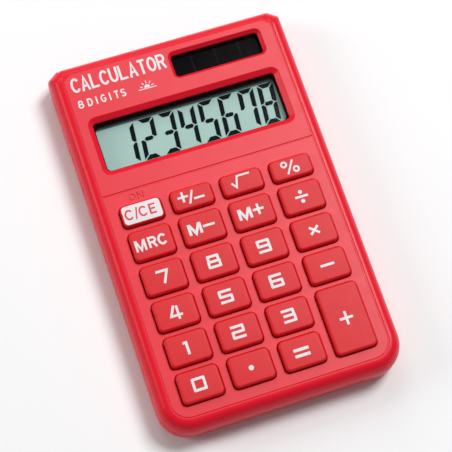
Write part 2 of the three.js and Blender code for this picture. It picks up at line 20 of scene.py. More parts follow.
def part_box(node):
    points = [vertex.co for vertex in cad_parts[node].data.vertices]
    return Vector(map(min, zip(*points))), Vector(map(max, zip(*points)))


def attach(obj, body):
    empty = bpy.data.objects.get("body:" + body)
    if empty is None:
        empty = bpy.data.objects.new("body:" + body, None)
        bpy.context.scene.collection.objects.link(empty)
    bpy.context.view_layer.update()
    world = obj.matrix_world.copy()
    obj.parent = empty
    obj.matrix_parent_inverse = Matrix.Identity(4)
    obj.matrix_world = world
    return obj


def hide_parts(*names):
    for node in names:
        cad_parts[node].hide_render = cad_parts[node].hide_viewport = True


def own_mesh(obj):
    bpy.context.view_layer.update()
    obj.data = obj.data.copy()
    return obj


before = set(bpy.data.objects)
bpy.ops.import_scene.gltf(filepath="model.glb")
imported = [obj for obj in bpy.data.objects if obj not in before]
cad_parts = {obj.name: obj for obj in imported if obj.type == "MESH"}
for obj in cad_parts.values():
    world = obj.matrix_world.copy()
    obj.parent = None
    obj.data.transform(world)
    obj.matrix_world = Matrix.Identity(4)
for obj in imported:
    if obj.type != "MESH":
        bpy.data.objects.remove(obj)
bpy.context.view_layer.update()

MM = 0.001
CASE_BODY = "case"
log = logging.getLogger("calculator")

Flat = tuple[float, float]
Color = tuple[float, float, float]
Height = float | Callable[[float, float], float]


# ---------------------------------------------------------------- outlines


@dataclass(frozen=True)
class Rect:
    """A rectangle in plan, by its four sides."""

    left: float
    right: float
    low: float
    high: float

    @property
    def x(self) -> float:
        """The middle, across."""
        return (self.left + self.right) / 2

    @property
    def y(self) -> float:
        """The middle, along."""
        return (self.low + self.high) / 2

    def grow(self, by: float) -> "Rect":
        """The rectangle grown on every side, or drawn in where `by` is negative."""
        return Rect(self.left - by, self.right + by, self.low - by, self.high + by)

    def outline(self, radius: float, steps: int = 6, sides: int = 1) -> list[Flat]:
        """The rectangle with round corners, anticlockwise from its lower right corner.

        Args:
            radius: the radius of the corners.
            steps: the pieces of each corner's arc.
            sides: the pieces of each side.

        Returns:
            The outline's points.
        """
        corners = [
            (self.right, self.low, radius),
            (self.right, self.high, radius),
            (self.left, self.high, radius),
            (self.left, self.low, radius),
        ]
        return rounded(corners, steps, sides)


@dataclass(frozen=True)
class Extent:
    """The room that a piece of the frame takes, in millimetres."""

    plan: Rect
    bottom: float
    top: float

    @classmethod
    def of(cls, node: str) -> "Extent":
        """The extent of one named piece.

        Args:
            node: the piece's name.

        Returns:
            Its extent.
        """
        low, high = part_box(node)
        plan = Rect(low.x / MM, high.x / MM, low.y / MM, high.y / MM)
        return cls(plan, low.z / MM, high.z / MM)


def rounded(corners: Sequence[tuple[float, float, float]], steps: int, sides: int = 1) -> list[Flat]:
    """A convex polygon with an arc in each corner.

    Args:
        corners: each corner's place and radius, anticlockwise.
        steps: the pieces that each arc is made of.
        sides: the pieces that each straight side is made of.

    Returns:
        The points, the same number for any size and radius.
    """
    arcs = []
    for index, (x, y, radius) in enumerate(corners):
        before = Vector(corners[index - 1][:2])
        after = Vector(corners[(index + 1) % len(corners)][:2])
        here = Vector((x, y))
        back = (before - here).normalized()
        ahead = (after - here).normalized()
        half = back.angle(ahead) / 2
        middle = here + (back + ahead).normalized() * radius / math.sin(half)
        start = here + back * radius / math.tan(half) - middle
        turn = math.pi - 2 * half
        first = math.atan2(start.y, start.x)
        arc = [first + turn * step / steps for step in range(steps + 1)]
        arcs.append([(middle.x + radius * math.cos(a), middle.y + radius * math.sin(a)) for a in arc])
    points = []
    for index, arc in enumerate(arcs):
        points += arc
        start = Vector(arc[-1])
        end = Vector(arcs[(index + 1) % len(arcs)][0])
        points += [tuple(start.lerp(end, side / sides)) for side in range(1, sides)]
    return points


def circle(x: float, y: float, radius: float, steps: int = 24) -> list[Flat]:
    """A circle about (x, y), anticlockwise."""
    angles = [2 * math.pi * step / steps for step in range(steps)]
    return [(x + radius * math.cos(a), y + radius * math.sin(a)) for a in angles]


def quarter(steps: int) -> list[float]:
    """The angles of a quarter turn, both ends included."""
    return [math.pi / 2 * step / steps for step in range(steps + 1)]


# ---------------------------------------------------------------- meshes


class Shell:
    """The corners and faces of closed shells, gathered ring by ring."""

    def __init__(self) -> None:
        """An empty shell."""
        self.points: list[Vector] = []
        self.faces: list[list[int]] = []
        self.slots: list[int] = []

    def row(self, points: Sequence[Sequence[float]]) -> list[int]:
        """Adds points and returns their numbers.

        Args:
            points: their places.

        Returns:
            Their numbers in the shell.
        """
        first = len(self.points)
        self.points += [Vector(point) for point in points]
        return list(range(first, len(self.points)))

    def ring(self, outline: Sequence[Flat], height: Height) -> list[int]:
        """Adds an outline at a height, or at the height that a surface has there."""
        rise = height if callable(height) else lambda x, y: height
        return self.row([(x, y, rise(x, y)) for x, y in outline])

    def face(self, corners: Sequence[int], slot: int = 0) -> None:
        """Adds one face."""
        self.faces.append(list(corners))
        self.slots.append(slot)

    def bridge(self, first: Sequence[int], second: Sequence[int], slot: int = 0) -> None:
        """Joins two rings of the same number of points.

        Args:
            first: one ring.
            second: the other ring.
            slot: the faces' material slot.
        """
        for index, corner in enumerate(first):
            ahead = (index + 1) % len(first)
            self.face((corner, first[ahead], second[ahead], second[index]), slot)

    def stack(self, rings: Sequence[Sequence[int]], slot: int = 0) -> None:
        """Joins each ring to the next."""
        for first, second in zip(rings, rings[1:]):
            self.bridge(first, second, slot)

    def fill(self, outer: Sequence[int], holes: Sequence[Sequence[int]] = (), slot: int = 0) -> None:
        """Closes a ring with a flat sheet, open at the holes.

        Args:
            outer: the ring.
            holes: the rings that stay open.
            slot: the faces' material slot.
        """
        loops = [outer, *holes]
        flat = [[Vector((*self.points[i].xy, 0)) for i in loop] for loop in loops]
        numbers = [i for loop in loops for i in loop]
        for triangle in tessellate_polygon(flat):
            self.face([numbers[i] for i in triangle], slot)

    def fan(self, ring: Sequence[int], slot: int = 0) -> None:
        """Closes a small ring with triangles that meet in its middle.

        Args:
            ring: the ring.
            slot: the faces' material slot.
        """
        middle = sum((self.points[i] for i in ring), Vector((0, 0, 0))) / len(ring)
        tip = self.row([middle])[0]
        for first, second in zip(ring, [*ring[1:], ring[0]]):
            self.face((first, second, tip), slot)

    def solid(self, rings: Sequence[Sequence[int]]) -> None:
        """Joins each ring to the next and closes the first and the last.

        Args:
            rings: the rings, in order.
        """
        self.stack(rings)
        self.fill(rings[0])
        self.fill(rings[-1])

    def column(self, outline: Sequence[Flat], low: float, high: float) -> None:
        """Adds a closed upright prism."""
        self.solid([self.ring(outline, low), self.ring(outline, high)])

    def make(self, name: str, finishes: Sequence[bpy.types.Material], sharp: float = 32) -> bpy.types.Object:
        """Makes the shell a piece, in metres, with its faces turned outwards.

        Args:
            name: the piece's name.
            finishes: the material of each slot.
            sharp: the angle in degrees from which an edge is shown sharp.

        Returns:
            The new object.
        """
        mesh = bpy.data.meshes.new(name)
        mesh.from_pydata([point * MM for point in self.points], [], self.faces)
        for material in finishes:
            mesh.materials.append(material)
        mesh.polygons.foreach_set("material_index", self.slots)
        shape = bmesh.new()
        shape.from_mesh(mesh)
        bmesh.ops.dissolve_degenerate(shape, dist=1e-8, edges=shape.edges)
        bmesh.ops.recalc_face_normals(shape, faces=shape.faces)
        shape.to_mesh(mesh)
        shape.free()
        smooth(mesh, sharp)
        return show(bpy.data.objects.new(name, mesh))


def smooth(mesh: bpy.types.Mesh, sharp: float = 32) -> None:
    """Shades a mesh smooth, but for its edges sharper than `sharp` degrees."""
    mesh.shade_smooth()
    mesh.set_sharp_from_angle(angle=math.radians(sharp))


def show(piece: bpy.types.Object) -> bpy.types.Object:
    """Adds an object to the scene."""
    bpy.context.scene.collection.objects.link(piece)
    return piece


def plain_mesh(piece: bpy.types.Object) -> bpy.types.Object:
    """Takes a piece's modifiers into its mesh.

    Args:
        piece: the object with modifiers.

    Returns:
        The same object, with a mesh and no modifiers.
    """
    graph = bpy.context.evaluated_depsgraph_get()
    mesh = bpy.data.meshes.new_from_object(piece.evaluated_get(graph))
    piece.modifiers.clear()
    old = piece.data
    piece.data = mesh
    bpy.data.meshes.remove(old)
    mesh.name = piece.name
    return piece


def carve(piece: bpy.types.Object, tools: Sequence[tuple[str, Shell]]) -> bpy.types.Object:
    """Joins shells to a piece or cuts them out of it.

    Args:
        piece: the piece that is worked on.
        tools: for each step, UNION or DIFFERENCE and the shell.

    Returns:
        The same object with its new mesh.
    """
    finishes = list(piece.data.materials)
    cutters = []
    for index, (operation, shell) in enumerate(tools):
        cutter = shell.make(f"{piece.name}_tool_{index}", finishes[:1])
        step = piece.modifiers.new(operation, "BOOLEAN")
        step.operation = operation
        step.object = cutter
        step.solver = "EXACT"
        step.use_self = operation == "UNION"
        cutters.append(cutter)
    plain_mesh(piece)
    for cutter in cutters:
        mesh = cutter.data
        bpy.data.objects.remove(cutter)
        bpy.data.meshes.remove(mesh)
    smooth(piece.data)
    return piece


def dress(node: str, material: bpy.types.Material) -> None:
    """Gives a piece of the frame its finish.

    Args:
        node: the piece's name.
        material: its finish.
    """
    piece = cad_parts[node]
    if not piece.material_slots:
        piece.data.materials.append(material)
    for holder in piece.material_slots:
        holder.material = material


# ---------------------------------------------------------------- shader maths


class Wire:
    """A number that varies over a surface; sums and products of wires add Math nodes."""

    def __init__(self, shader: "Shader", socket: bpy.types.NodeSocket) -> None:
        """Wraps the socket that the number comes out of."""
        self.shader = shader
        self.socket = socket

    def __add__(self, other: "Wire | float") -> "Wire":
        """This plus another."""
        return self.shader.math("ADD", self, other)

    __radd__ = __add__

    def __sub__(self, other: "Wire | float") -> "Wire":
        """This less another."""
        return self.shader.math("SUBTRACT", self, other)

    def __rsub__(self, other: float) -> "Wire":
        """A plain number less this."""
        return self.shader.math("SUBTRACT", other, self)

    def __mul__(self, other: "Wire | float") -> "Wire":
        """This times another."""
        return self.shader.math("MULTIPLY", self, other)

    __rmul__ = __mul__

    def above(self, level: float, soft: float) -> "Wire":
        """A mask that rises from 0 to 1 round a level, over a width of `soft`.

        Args:
            level: the middle of the rise.
            soft: the width of the rise.

        Returns:
            The mask.
        """
        settings = {"interpolation_type": "SMOOTHSTEP"}
        ends = {"Value": self, "From Min": level - soft / 2, "From Max": level + soft / 2}
        return Wire(self.shader, self.shader.node("ShaderNodeMapRange", settings, ends).outputs[0])


class Shader:
    """The nodes of one material, round a single surface shader."""

    def __init__(self, name: str) -> None:
        """A new material with nothing but its surface.

        Args:
            name: the name of the slot that it is for.
        """
        self.material = bpy.data.materials.new(f"{name}_finish")
        self.material.use_nodes = True
        self.tree = self.material.node_tree
        self.tree.nodes.clear()
        self.surface = self.node("ShaderNodeBsdfPrincipled")
        self.node("ShaderNodeOutputMaterial", {}, {"Surface": self.surface.outputs["BSDF"]})
        self.place = self.node("ShaderNodeTexCoord").outputs["Object"]

    def node(self, kind: str, settings: dict | None = None, inputs: dict | None = None) -> bpy.types.Node:
        """Adds a node.

        Args:
            kind: the node's type.
            settings: what is set on the node itself, before its sockets.
            inputs: for each socket, by name or number, a value, a wire or a socket to link.

        Returns:
            The node.
        """
        made = self.tree.nodes.new(kind)
        for name, value in (settings or {}).items():
            setattr(made, name, value)
        for name, value in (inputs or {}).items():
            self.feed(made.inputs[name], value)
        return made

    def feed(self, socket: bpy.types.NodeSocket, value: object) -> None:
        """Sets a socket, or links it where the value is a wire or a socket.

        Args:
            socket: the socket.
            value: what goes in.
        """
        if isinstance(value, Wire):
            value = value.socket
        if isinstance(value, bpy.types.NodeSocket):
            self.tree.links.new(value, socket)
        else:
            socket.default_value = value

    def math(self, operation: str, *values: "Wire | float") -> Wire:
        """One step of arithmetic."""
        made = self.node("ShaderNodeMath", {"operation": operation}, dict(enumerate(values)))
        return Wire(self, made.outputs[0])

    def noise(self, size: float, detail: float = 2, stretch: Sequence[float] = (1, 1, 1)) -> Wire:
        """Soft noise from 0 to 1.

        Args:
            size: the size of its patches in millimetres.
            detail: how many finer layers it has.
            stretch: how much closer the patches lie along each axis.

        Returns:
            The noise.
        """
        scale = {"Vector": self.place, "Scale": stretch}
        place = self.node("ShaderNodeMapping", {"vector_type": "POINT"}, scale)
        inputs = {"Vector": place.outputs[0], "Scale": 1 / (size * MM), "Detail": detail}
        return Wire(self, self.node("ShaderNodeTexNoise", {}, inputs).outputs[0])

    def speckle(self, size: float) -> Wire:
        """The distance to the nearest of many scattered points, `size` millimetres apart."""
        inputs = {"Vector": self.place, "Scale": 1 / (size * MM)}
        return Wire(self, self.node("ShaderNodeTexVoronoi", {}, inputs).outputs["Distance"])

    def along(self, axis: str) -> Wire:
        """The place along an axis, in millimetres."""
        parts = self.node("ShaderNodeSeparateXYZ", {}, {0: self.place})
        return Wire(self, parts.outputs[axis]) * (1 / MM)

    def mix(self, factor: Wire, first: object, second: object) -> bpy.types.NodeSocket:
        """A colour between two others, whose sockets have numbers because their names repeat."""
        inputs = {0: factor, 6: as_color(first), 7: as_color(second)}
        return self.node("ShaderNodeMix", {"data_type": "RGBA"}, inputs).outputs[2]

    def bump(self, height: Wire, depth: float) -> bpy.types.NodeSocket:
        """The normal of a surface with relief `depth` millimetres deep."""
        inputs = {"Strength": 1.0, "Distance": depth * MM, "Height": height}
        return self.node("ShaderNodeBump", {}, inputs).outputs[0]

    def finish(self, **inputs: object) -> bpy.types.Material:
        """Sets the surface's sockets, whose names have _ for each space, and returns the material.

        Args:
            inputs: what goes into each socket.

        Returns:
            The finished material.
        """
        for name, value in inputs.items():
            self.feed(self.surface.inputs[name.replace("_", " ")], as_color(value))
        return self.material


def as_color(value: object) -> object:
    """A colour of three numbers with its fourth; anything else as it is."""
    return (*value, 1.0) if isinstance(value, tuple) and len(value) == 3 else value


def shade(color: Color, by: float) -> Color:
    """A colour made lighter or darker."""
    return tuple(min(1.0, part * by) for part in color)


# ---------------------------------------------------------------- finishes


@dataclass(frozen=True)
class MouldedPlastic:
    """Injection-moulded plastic with a fine spark-eroded grain, rubbed smoother in patches."""

    name: str
    color: Color
    roughness: float
    grain: float = 0.22
    depth: float = 0.004
    variation: float = 0.05
    gloss: float = 0.5

    def make(self) -> bpy.types.Material:
        """Makes the material.

        Returns:
            The material.
        """
        shader = Shader(self.name)
        cloud = shader.noise(9, 3)
        grain = shader.noise(self.grain, 2)
        rubbed = shader.noise(3.5, 4)
        scratches = shader.noise(0.35, 1, (1, 0.04, 1)).above(0.70, 0.05)
        color = shader.mix(
            cloud, shade(self.color, 1 - self.variation), shade(self.color, 1 + self.variation)
        )
        roughness = self.roughness - 0.05 + 0.10 * rubbed + 0.06 * (grain - 0.5) - 0.07 * scratches
        return shader.finish(
            Base_Color=color,
            Roughness=roughness,
            Normal=shader.bump(grain, self.depth),
            Specular_IOR_Level=self.gloss,
        )


@dataclass(frozen=True)
class PadPrint:
    """Pad-printed ink: a thin, slightly uneven film."""

    name: str
    color: Color
    under: Color
    roughness: float = 0.42

    def make(self) -> bpy.types.Material:
        """Makes the material, with the colour under it showing in a few pinholes.

        Returns:
            The material.
        """
        shader = Shader(self.name)
        film = shader.noise(0.5, 3)
        pinholes = shader.speckle(0.28).above(0.07, 0.05)
        worn = 1 - (1 - pinholes) * shader.noise(2.5, 2).above(0.56, 0.1) * 0.5
        return shader.finish(
            Base_Color=shader.mix(worn, self.under, shader.mix(film, shade(self.color, 0.96), self.color)),
            Roughness=self.roughness - 0.06 + 0.12 * film,
            Normal=shader.bump(film, 0.002),
        )


@dataclass(frozen=True)
class ClearSheet:
    """A clear or tinted sheet that lets most of the light through."""

    name: str
    color: Color
    alpha: float
    roughness: float = 0.08
    haze: float = 0.02

    def make(self) -> bpy.types.Material:
        """Makes the material, with faint haze and hairlines.

        Returns:
            The material.
        """
        shader = Shader(self.name)
        haze = shader.noise(6, 3)
        hairlines = shader.noise(0.25, 1, (1, 0.03, 1)).above(0.72, 0.04)
        return shader.finish(
            Base_Color=shader.mix(haze, shade(self.color, 0.94), self.color),
            Roughness=self.roughness + 0.04 * haze + 0.1 * hairlines,
            Alpha=self.alpha - self.haze / 2 + self.haze * haze + 0.01 * hairlines,
        )


@dataclass(frozen=True)
class MattFoil:
    """The matt foil behind the liquid crystal, with a slight sparkle."""

    name: str
    color: Color

    def make(self) -> bpy.types.Material:
        """Makes the material.

        Returns:
            The material.
        """
        shader = Shader(self.name)
        sparkle = shader.noise(0.12, 1)
        cloud = shader.noise(7, 2)
        color = shader.mix(cloud, shade(self.color, 0.96), shade(self.color, 1.04))
        return shader.finish(
            Base_Color=color,
            Roughness=0.5 + 0.2 * sparkle,
            Normal=shader.bump(sparkle, 0.003),
        )


@dataclass(frozen=True)
class DarkInkAndShade:
    """Near-black with no shine of its own under the glass: the digits' darkened liquid crystal, and the black
    border round the display, which is partly ink and partly painted shade.
    """

    name: str
    color: Color

    def make(self) -> bpy.types.Material:
        """Makes the material.

        Returns:
            The material.
        """
        shader = Shader(self.name)
        cloud = shader.noise(1.5, 2)
        return shader.finish(
            Base_Color=shader.mix(cloud, self.color, shade(self.color, 1.5)),
            Roughness=0.6 + 0.1 * cloud,
            Specular_IOR_Level=0.0,
        )


@dataclass(frozen=True)
class SolarGlass:
    """Black amorphous silicon behind glass, divided into strips by fine lines."""

    name: str
    color: Color
    line: Color
    strips: int
    plan: Rect

    def make(self) -> bpy.types.Material:
        """Makes the material.

        Returns:
            The material.
        """
        shader = Shader(self.name)
        across = (shader.along("X") - self.plan.left) * (self.strips / (self.plan.right - self.plan.left))
        offset = shader.math("ABSOLUTE", shader.math("FRACT", across) - 0.5)
        lines = offset.above(0.485, 0.006)
        cloud = shader.noise(4, 3)
        glass = shader.mix(cloud, shade(self.color, 0.6), shade(self.color, 1.6))
        return shader.finish(
            Base_Color=shader.mix(lines, glass, self.line),
            Roughness=0.12 + 0.08 * cloud + 0.2 * lines,
            Specular_IOR_Level=0.05,
        )


@dataclass(frozen=True)
class Metal:
    """Plated metal with a brushed or drawn grain and a little tarnish."""

    name: str
    color: Color
    roughness: float = 0.3

    def make(self) -> bpy.types.Material:
        """Makes the material.

        Returns:
            The material.
        """
        shader = Shader(self.name)
        brushed = shader.noise(0.4, 3, (1, 0.06, 1))
        tarnish = shader.noise(1.8, 4).above(0.6, 0.25)
        return shader.finish(
            Base_Color=shader.mix(tarnish, self.color, shade(self.color, 0.72)),
            Metallic=1.0 - 0.15 * tarnish,
            Roughness=self.roughness - 0.08 + 0.16 * brushed + 0.12 * tarnish,
            Normal=shader.bump(brushed, 0.004),
        )


@dataclass(frozen=True)
class Coating:
    """Rubber, epoxy, insulation or solder mask: one colour, clouded and softly uneven."""

    name: str
    color: Color
    roughness: float
    grain: float = 0.4
    depth: float = 0.006
    sheen: float = 0.0

    def make(self) -> bpy.types.Material:
        """Makes the material.

        Returns:
            The material.
        """
        shader = Shader(self.name)
        cloud = shader.noise(3, 4)
        grain = shader.noise(self.grain, 3)
        return shader.finish(
            Base_Color=shader.mix(cloud, shade(self.color, 0.85), shade(self.color, 1.15)),
            Roughness=self.roughness - 0.06 + 0.12 * grain,
            Normal=shader.bump(grain, self.depth),
            Sheen_Weight=self.sheen,
        )


@dataclass(frozen=True)
class TableTop:
    """The pale surface that the calculator lies on."""

    name: str
    color: Color

    def make(self) -> bpy.types.Material:
        """Makes the material.

        Returns:
            The material.
        """
        shader = Shader(self.name)
        cloud = shader.noise(60, 3)
        return shader.finish(
            Base_Color=shader.mix(cloud, shade(self.color, 0.99), self.color),
            Roughness=0.55 + 0.1 * cloud,
        )


CASE_RED: Color = (0.81, 0.010, 0.028)
KEY_RED: Color = (0.72, 0.010, 0.016)
PRINT_WHITE: Color = (0.80, 0.78, 0.79)


class Paint(Enum):
    """The finish of each kind of piece, by its slot."""

    CASE = MouldedPlastic("case_plastic", CASE_RED, 0.43, gloss=0.52)
    CASE_SMOOTH = MouldedPlastic("case_plastic", CASE_RED, 0.3, grain=0.5, depth=0.0007, gloss=0.2)
    KEY = MouldedPlastic("key_plastic", KEY_RED, 0.48, grain=0.3, depth=0.005, gloss=0.36)
    KEY_WHITE = MouldedPlastic("key_plastic_white", KEY_RED, 0.48, grain=0.3, depth=0.005, gloss=0.36)
    WHITE_PRINT = PadPrint("white_print", PRINT_WHITE, KEY_RED)
    RED_PRINT = PadPrint("red_print", CASE_RED, PRINT_WHITE)
    CLEAR = ClearSheet("clear_plastic", (0.02, 0.02, 0.02), 0.02, haze=0.01)
    GLASS = ClearSheet("display_glass", (0.06, 0.09, 0.08), 0.025, haze=0.01)
    # Near-black with a reddish tinge: painted shade for the shadowed strip inside the display opening.
    MASK = DarkInkAndShade("display_ink", (0.009, 0.005, 0.006))
    REFLECTOR = MattFoil("reflector_foil", (0.46, 0.70, 0.63))
    SEGMENT = DarkInkAndShade("display_ink", (0.004, 0.008, 0.010))
    RUBBER = Coating("silicone_rubber", (0.46, 0.48, 0.46), 0.7, sheen=0.2)
    BOARD = Coating("circuit_board", (0.03, 0.15, 0.06), 0.4, grain=0.7)
    EPOXY = Coating("black_epoxy", (0.012, 0.012, 0.012), 0.25, grain=1.2, depth=0.02)
    COMPONENT = Coating("component_body", (0.42, 0.24, 0.09), 0.45)
    CONNECTOR = Coating("connector_rubber", (0.20, 0.20, 0.21), 0.75)
    LEAD_RED = Coating("lead_red", (0.45, 0.015, 0.015), 0.4)
    LEAD_BLACK = Coating("lead_black", (0.018, 0.018, 0.018), 0.4)
    CELL = Metal("cell_steel", (0.62, 0.61, 0.58), 0.24)
    CONTACT = Metal("contact_steel", (0.68, 0.66, 0.60), 0.28)
    SCREW = Metal("screw_steel", (0.48, 0.48, 0.50), 0.34)

    @property
    def slot(self) -> str:
        """The name of the slot."""
        return self.value.name

    @cached_property
    def material(self) -> bpy.types.Material:
        """The material, made when it is first asked for."""
        return self.value.make()


def put(piece: bpy.types.Object, body: str = CASE_BODY) -> bpy.types.Object:
    """Makes a finished piece ride on its body.

    Args:
        piece: the finished piece.
        body: the body that it moves with.

    Returns:
        The same piece.
    """
    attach(piece, body)
    log.info("%s rides on %s with %d faces", piece.name, body, len(piece.data.polygons))
    return piece


# ---------------------------------------------------------------- lettering


class Joint(Enum):
    """How the strokes of a sign meet."""

    ROUND = "round"
    MITRED = "mitred"


def arc(x: float, y: float, reach: float, rise: float, start: float, end: float) -> list[Flat]:
    """Part of an ellipse, between two angles in degrees.

    Args:
        x: the middle, across.
        y: the middle, along.
        reach: half of the ellipse's width.
        rise: half of its height.
        start: the first angle.
        end: the last angle.

    Returns:
        Points along the arc.
    """
    steps = max(2, round(abs(end - start) / 15))
    angles = [math.radians(start + (end - start) * step / steps) for step in range(steps + 1)]
    return [(x + reach * math.cos(a), y + rise * math.sin(a)) for a in angles]


GLYPHS: dict[str, tuple[Joint, list[list[Flat]]]] = {
    "0": (Joint.ROUND, [[(0, 0.5), (0, 1), (1, 1), (1, 0), (0, 0), (0, 0.5)]]),
    "1": (Joint.MITRED, [[(0, 1), (0.72, 1), (0.72, -0.12)]]),
    "2": (Joint.ROUND, [[(-0.1, 1), (1, 1), (1, 0.5), (0, 0.5), (0, 0), (1.1, 0)]]),
    "3": (Joint.ROUND, [
        [(-0.1, 1), (0.97, 1), (0.97, 0.52), (0, 0.52)],
        [(0.8, 0.52), (1, 0.52), (1, 0), (-0.1, 0)],
    ]),
    "4": (Joint.MITRED, [[(0.5, 1.12), (0.06, 0.24), (1.12, 0.24)], [(0.74, 1.06), (0.74, -0.12)]]),
    "5": (Joint.ROUND, [[(1.1, 1), (0, 1), (0, 0.5), (1, 0.5), (1, 0), (-0.1, 0)]]),
    "6": (Joint.ROUND, [[(1.08, 1), (0, 1), (0, 0), (1, 0), (1, 0.5), (0, 0.5)]]),
    "7": (Joint.MITRED, [[(-0.1, 1), (0.98, 1), (0.44, -0.12)]]),
    "8": (Joint.ROUND, [
        [(0.5, 0.5), (0.05, 0.5), (0.05, 1), (0.95, 1), (0.95, 0.5), (0.5, 0.5)],
        [(0.5, 0.5), (0, 0.5), (0, 0), (1, 0), (1, 0.5), (0.5, 0.5)],
    ]),
    "round 8": (Joint.MITRED, [arc(0.5, 0.76, 0.42, 0.25, 0, 360), arc(0.5, 0.26, 0.5, 0.27, 0, 360)]),
    "9": (Joint.ROUND, [[(1, 0.5), (0, 0.5), (0, 1), (1, 1), (1, 0), (-0.08, 0)]]),
    "A": (Joint.MITRED, [[(0, -0.1), (0.5, 1.02), (1, -0.1)], [(0.2, 0.28), (0.8, 0.28)]]),
    "C": (Joint.MITRED, [arc(0.54, 0.5, 0.54, 0.5, 38, 322)]),
    "D": (Joint.MITRED, [[(0.4, 0), (0, 0), (0, 1), *arc(0.45, 0.5, 0.55, 0.5, 90, -90), (0.4, 0)]]),
    "E": (Joint.MITRED, [[(1.05, 1), (0, 1), (0, 0), (1.05, 0)], [(0, 0.52), (0.95, 0.52)]]),
    "G": (Joint.MITRED, [[*arc(0.54, 0.5, 0.54, 0.5, 42, 340), (1.0, 0.46), (0.6, 0.46)]]),
    "I": (Joint.MITRED, [[(0.5, -0.1), (0.5, 1.1)]]),
    "L": (Joint.MITRED, [[(0, 1.1), (0, 0), (1.05, 0)]]),
    "M": (Joint.MITRED, [
        [(0, -0.15), (0, 1.1)],
        [(0.05, 1.05), (0.5, -0.05), (0.95, 1.05)],
        [(1, 1.1), (1, -0.15)],
    ]),
    "N": (Joint.MITRED, [[(0, -0.1), (0, 1), (1, 0), (1, 1.1)]]),
    "O": (Joint.MITRED, [arc(0.5, 0.5, 0.52, 0.5, 0, 360)]),
    "R": (Joint.MITRED, [
        [(0, -0.1), (0, 1), (0.55, 1), *arc(0.6, 0.74, 0.38, 0.26, 75, -75), (0.55, 0.48), (0, 0.48)],
        [(0.55, 0.48), (1.0, -0.1)],
    ]),
    "S": (Joint.MITRED, [[*arc(0.5, 0.75, 0.46, 0.25, 25, 270), *arc(0.5, 0.25, 0.48, 0.25, 75, -155)]]),
    "T": (Joint.MITRED, [[(-0.05, 1), (1.05, 1)], [(0.5, 1), (0.5, -0.1)]]),
    "U": (Joint.MITRED, [[(0, 1.1), *arc(0.5, 0.42, 0.5, 0.42, 180, 360), (1, 1.1)]]),
    "+": (Joint.MITRED, [[(0, 0.5), (1, 0.5)], [(0.5, 0), (0.5, 1)]]),
    "-": (Joint.MITRED, [[(0, 0.5), (1, 0.5)]]),
    "/": (Joint.MITRED, [[(0, 0), (1, 1)]]),
    "=": (Joint.MITRED, [[(0, 1), (1, 1)], [(0, 0), (1, 0)]]),
    "x": (Joint.MITRED, [[(0, 0), (1, 1)], [(0, 1), (1, 0)]]),
    "v": (Joint.MITRED, [[(0, 0.45), (0.2, 0), (0.36, 1), (1, 1)]]),
    "o": (Joint.MITRED, [arc(0.5, 0.5, 0.5, 0.5, 0, 360)]),
}


@dataclass(frozen=True)
class Mark:
    """One printed sign: a glyph whose middle lines fill a box, drawn with a pen of one width."""

    glyph: str
    left: float
    right: float
    low: float
    high: float
    pen: float = 0.62

    def lines(self, x: float = 0, y: float = 0) -> list[list[Flat]]:
        """The middle lines of the strokes, moved by (x, y).

        Args:
            x: how far they move across.
            y: how far they move along.

        Returns:
            Each stroke's points.
        """
        width = self.right - self.left
        height = self.high - self.low
        _, drawn = GLYPHS[self.glyph]
        return [[(x + self.left + a * width, y + self.low + b * height) for a, b in line] for line in drawn]

    @property
    def joint(self) -> Joint:
        """How this sign's strokes meet."""
        return GLYPHS[self.glyph][0]


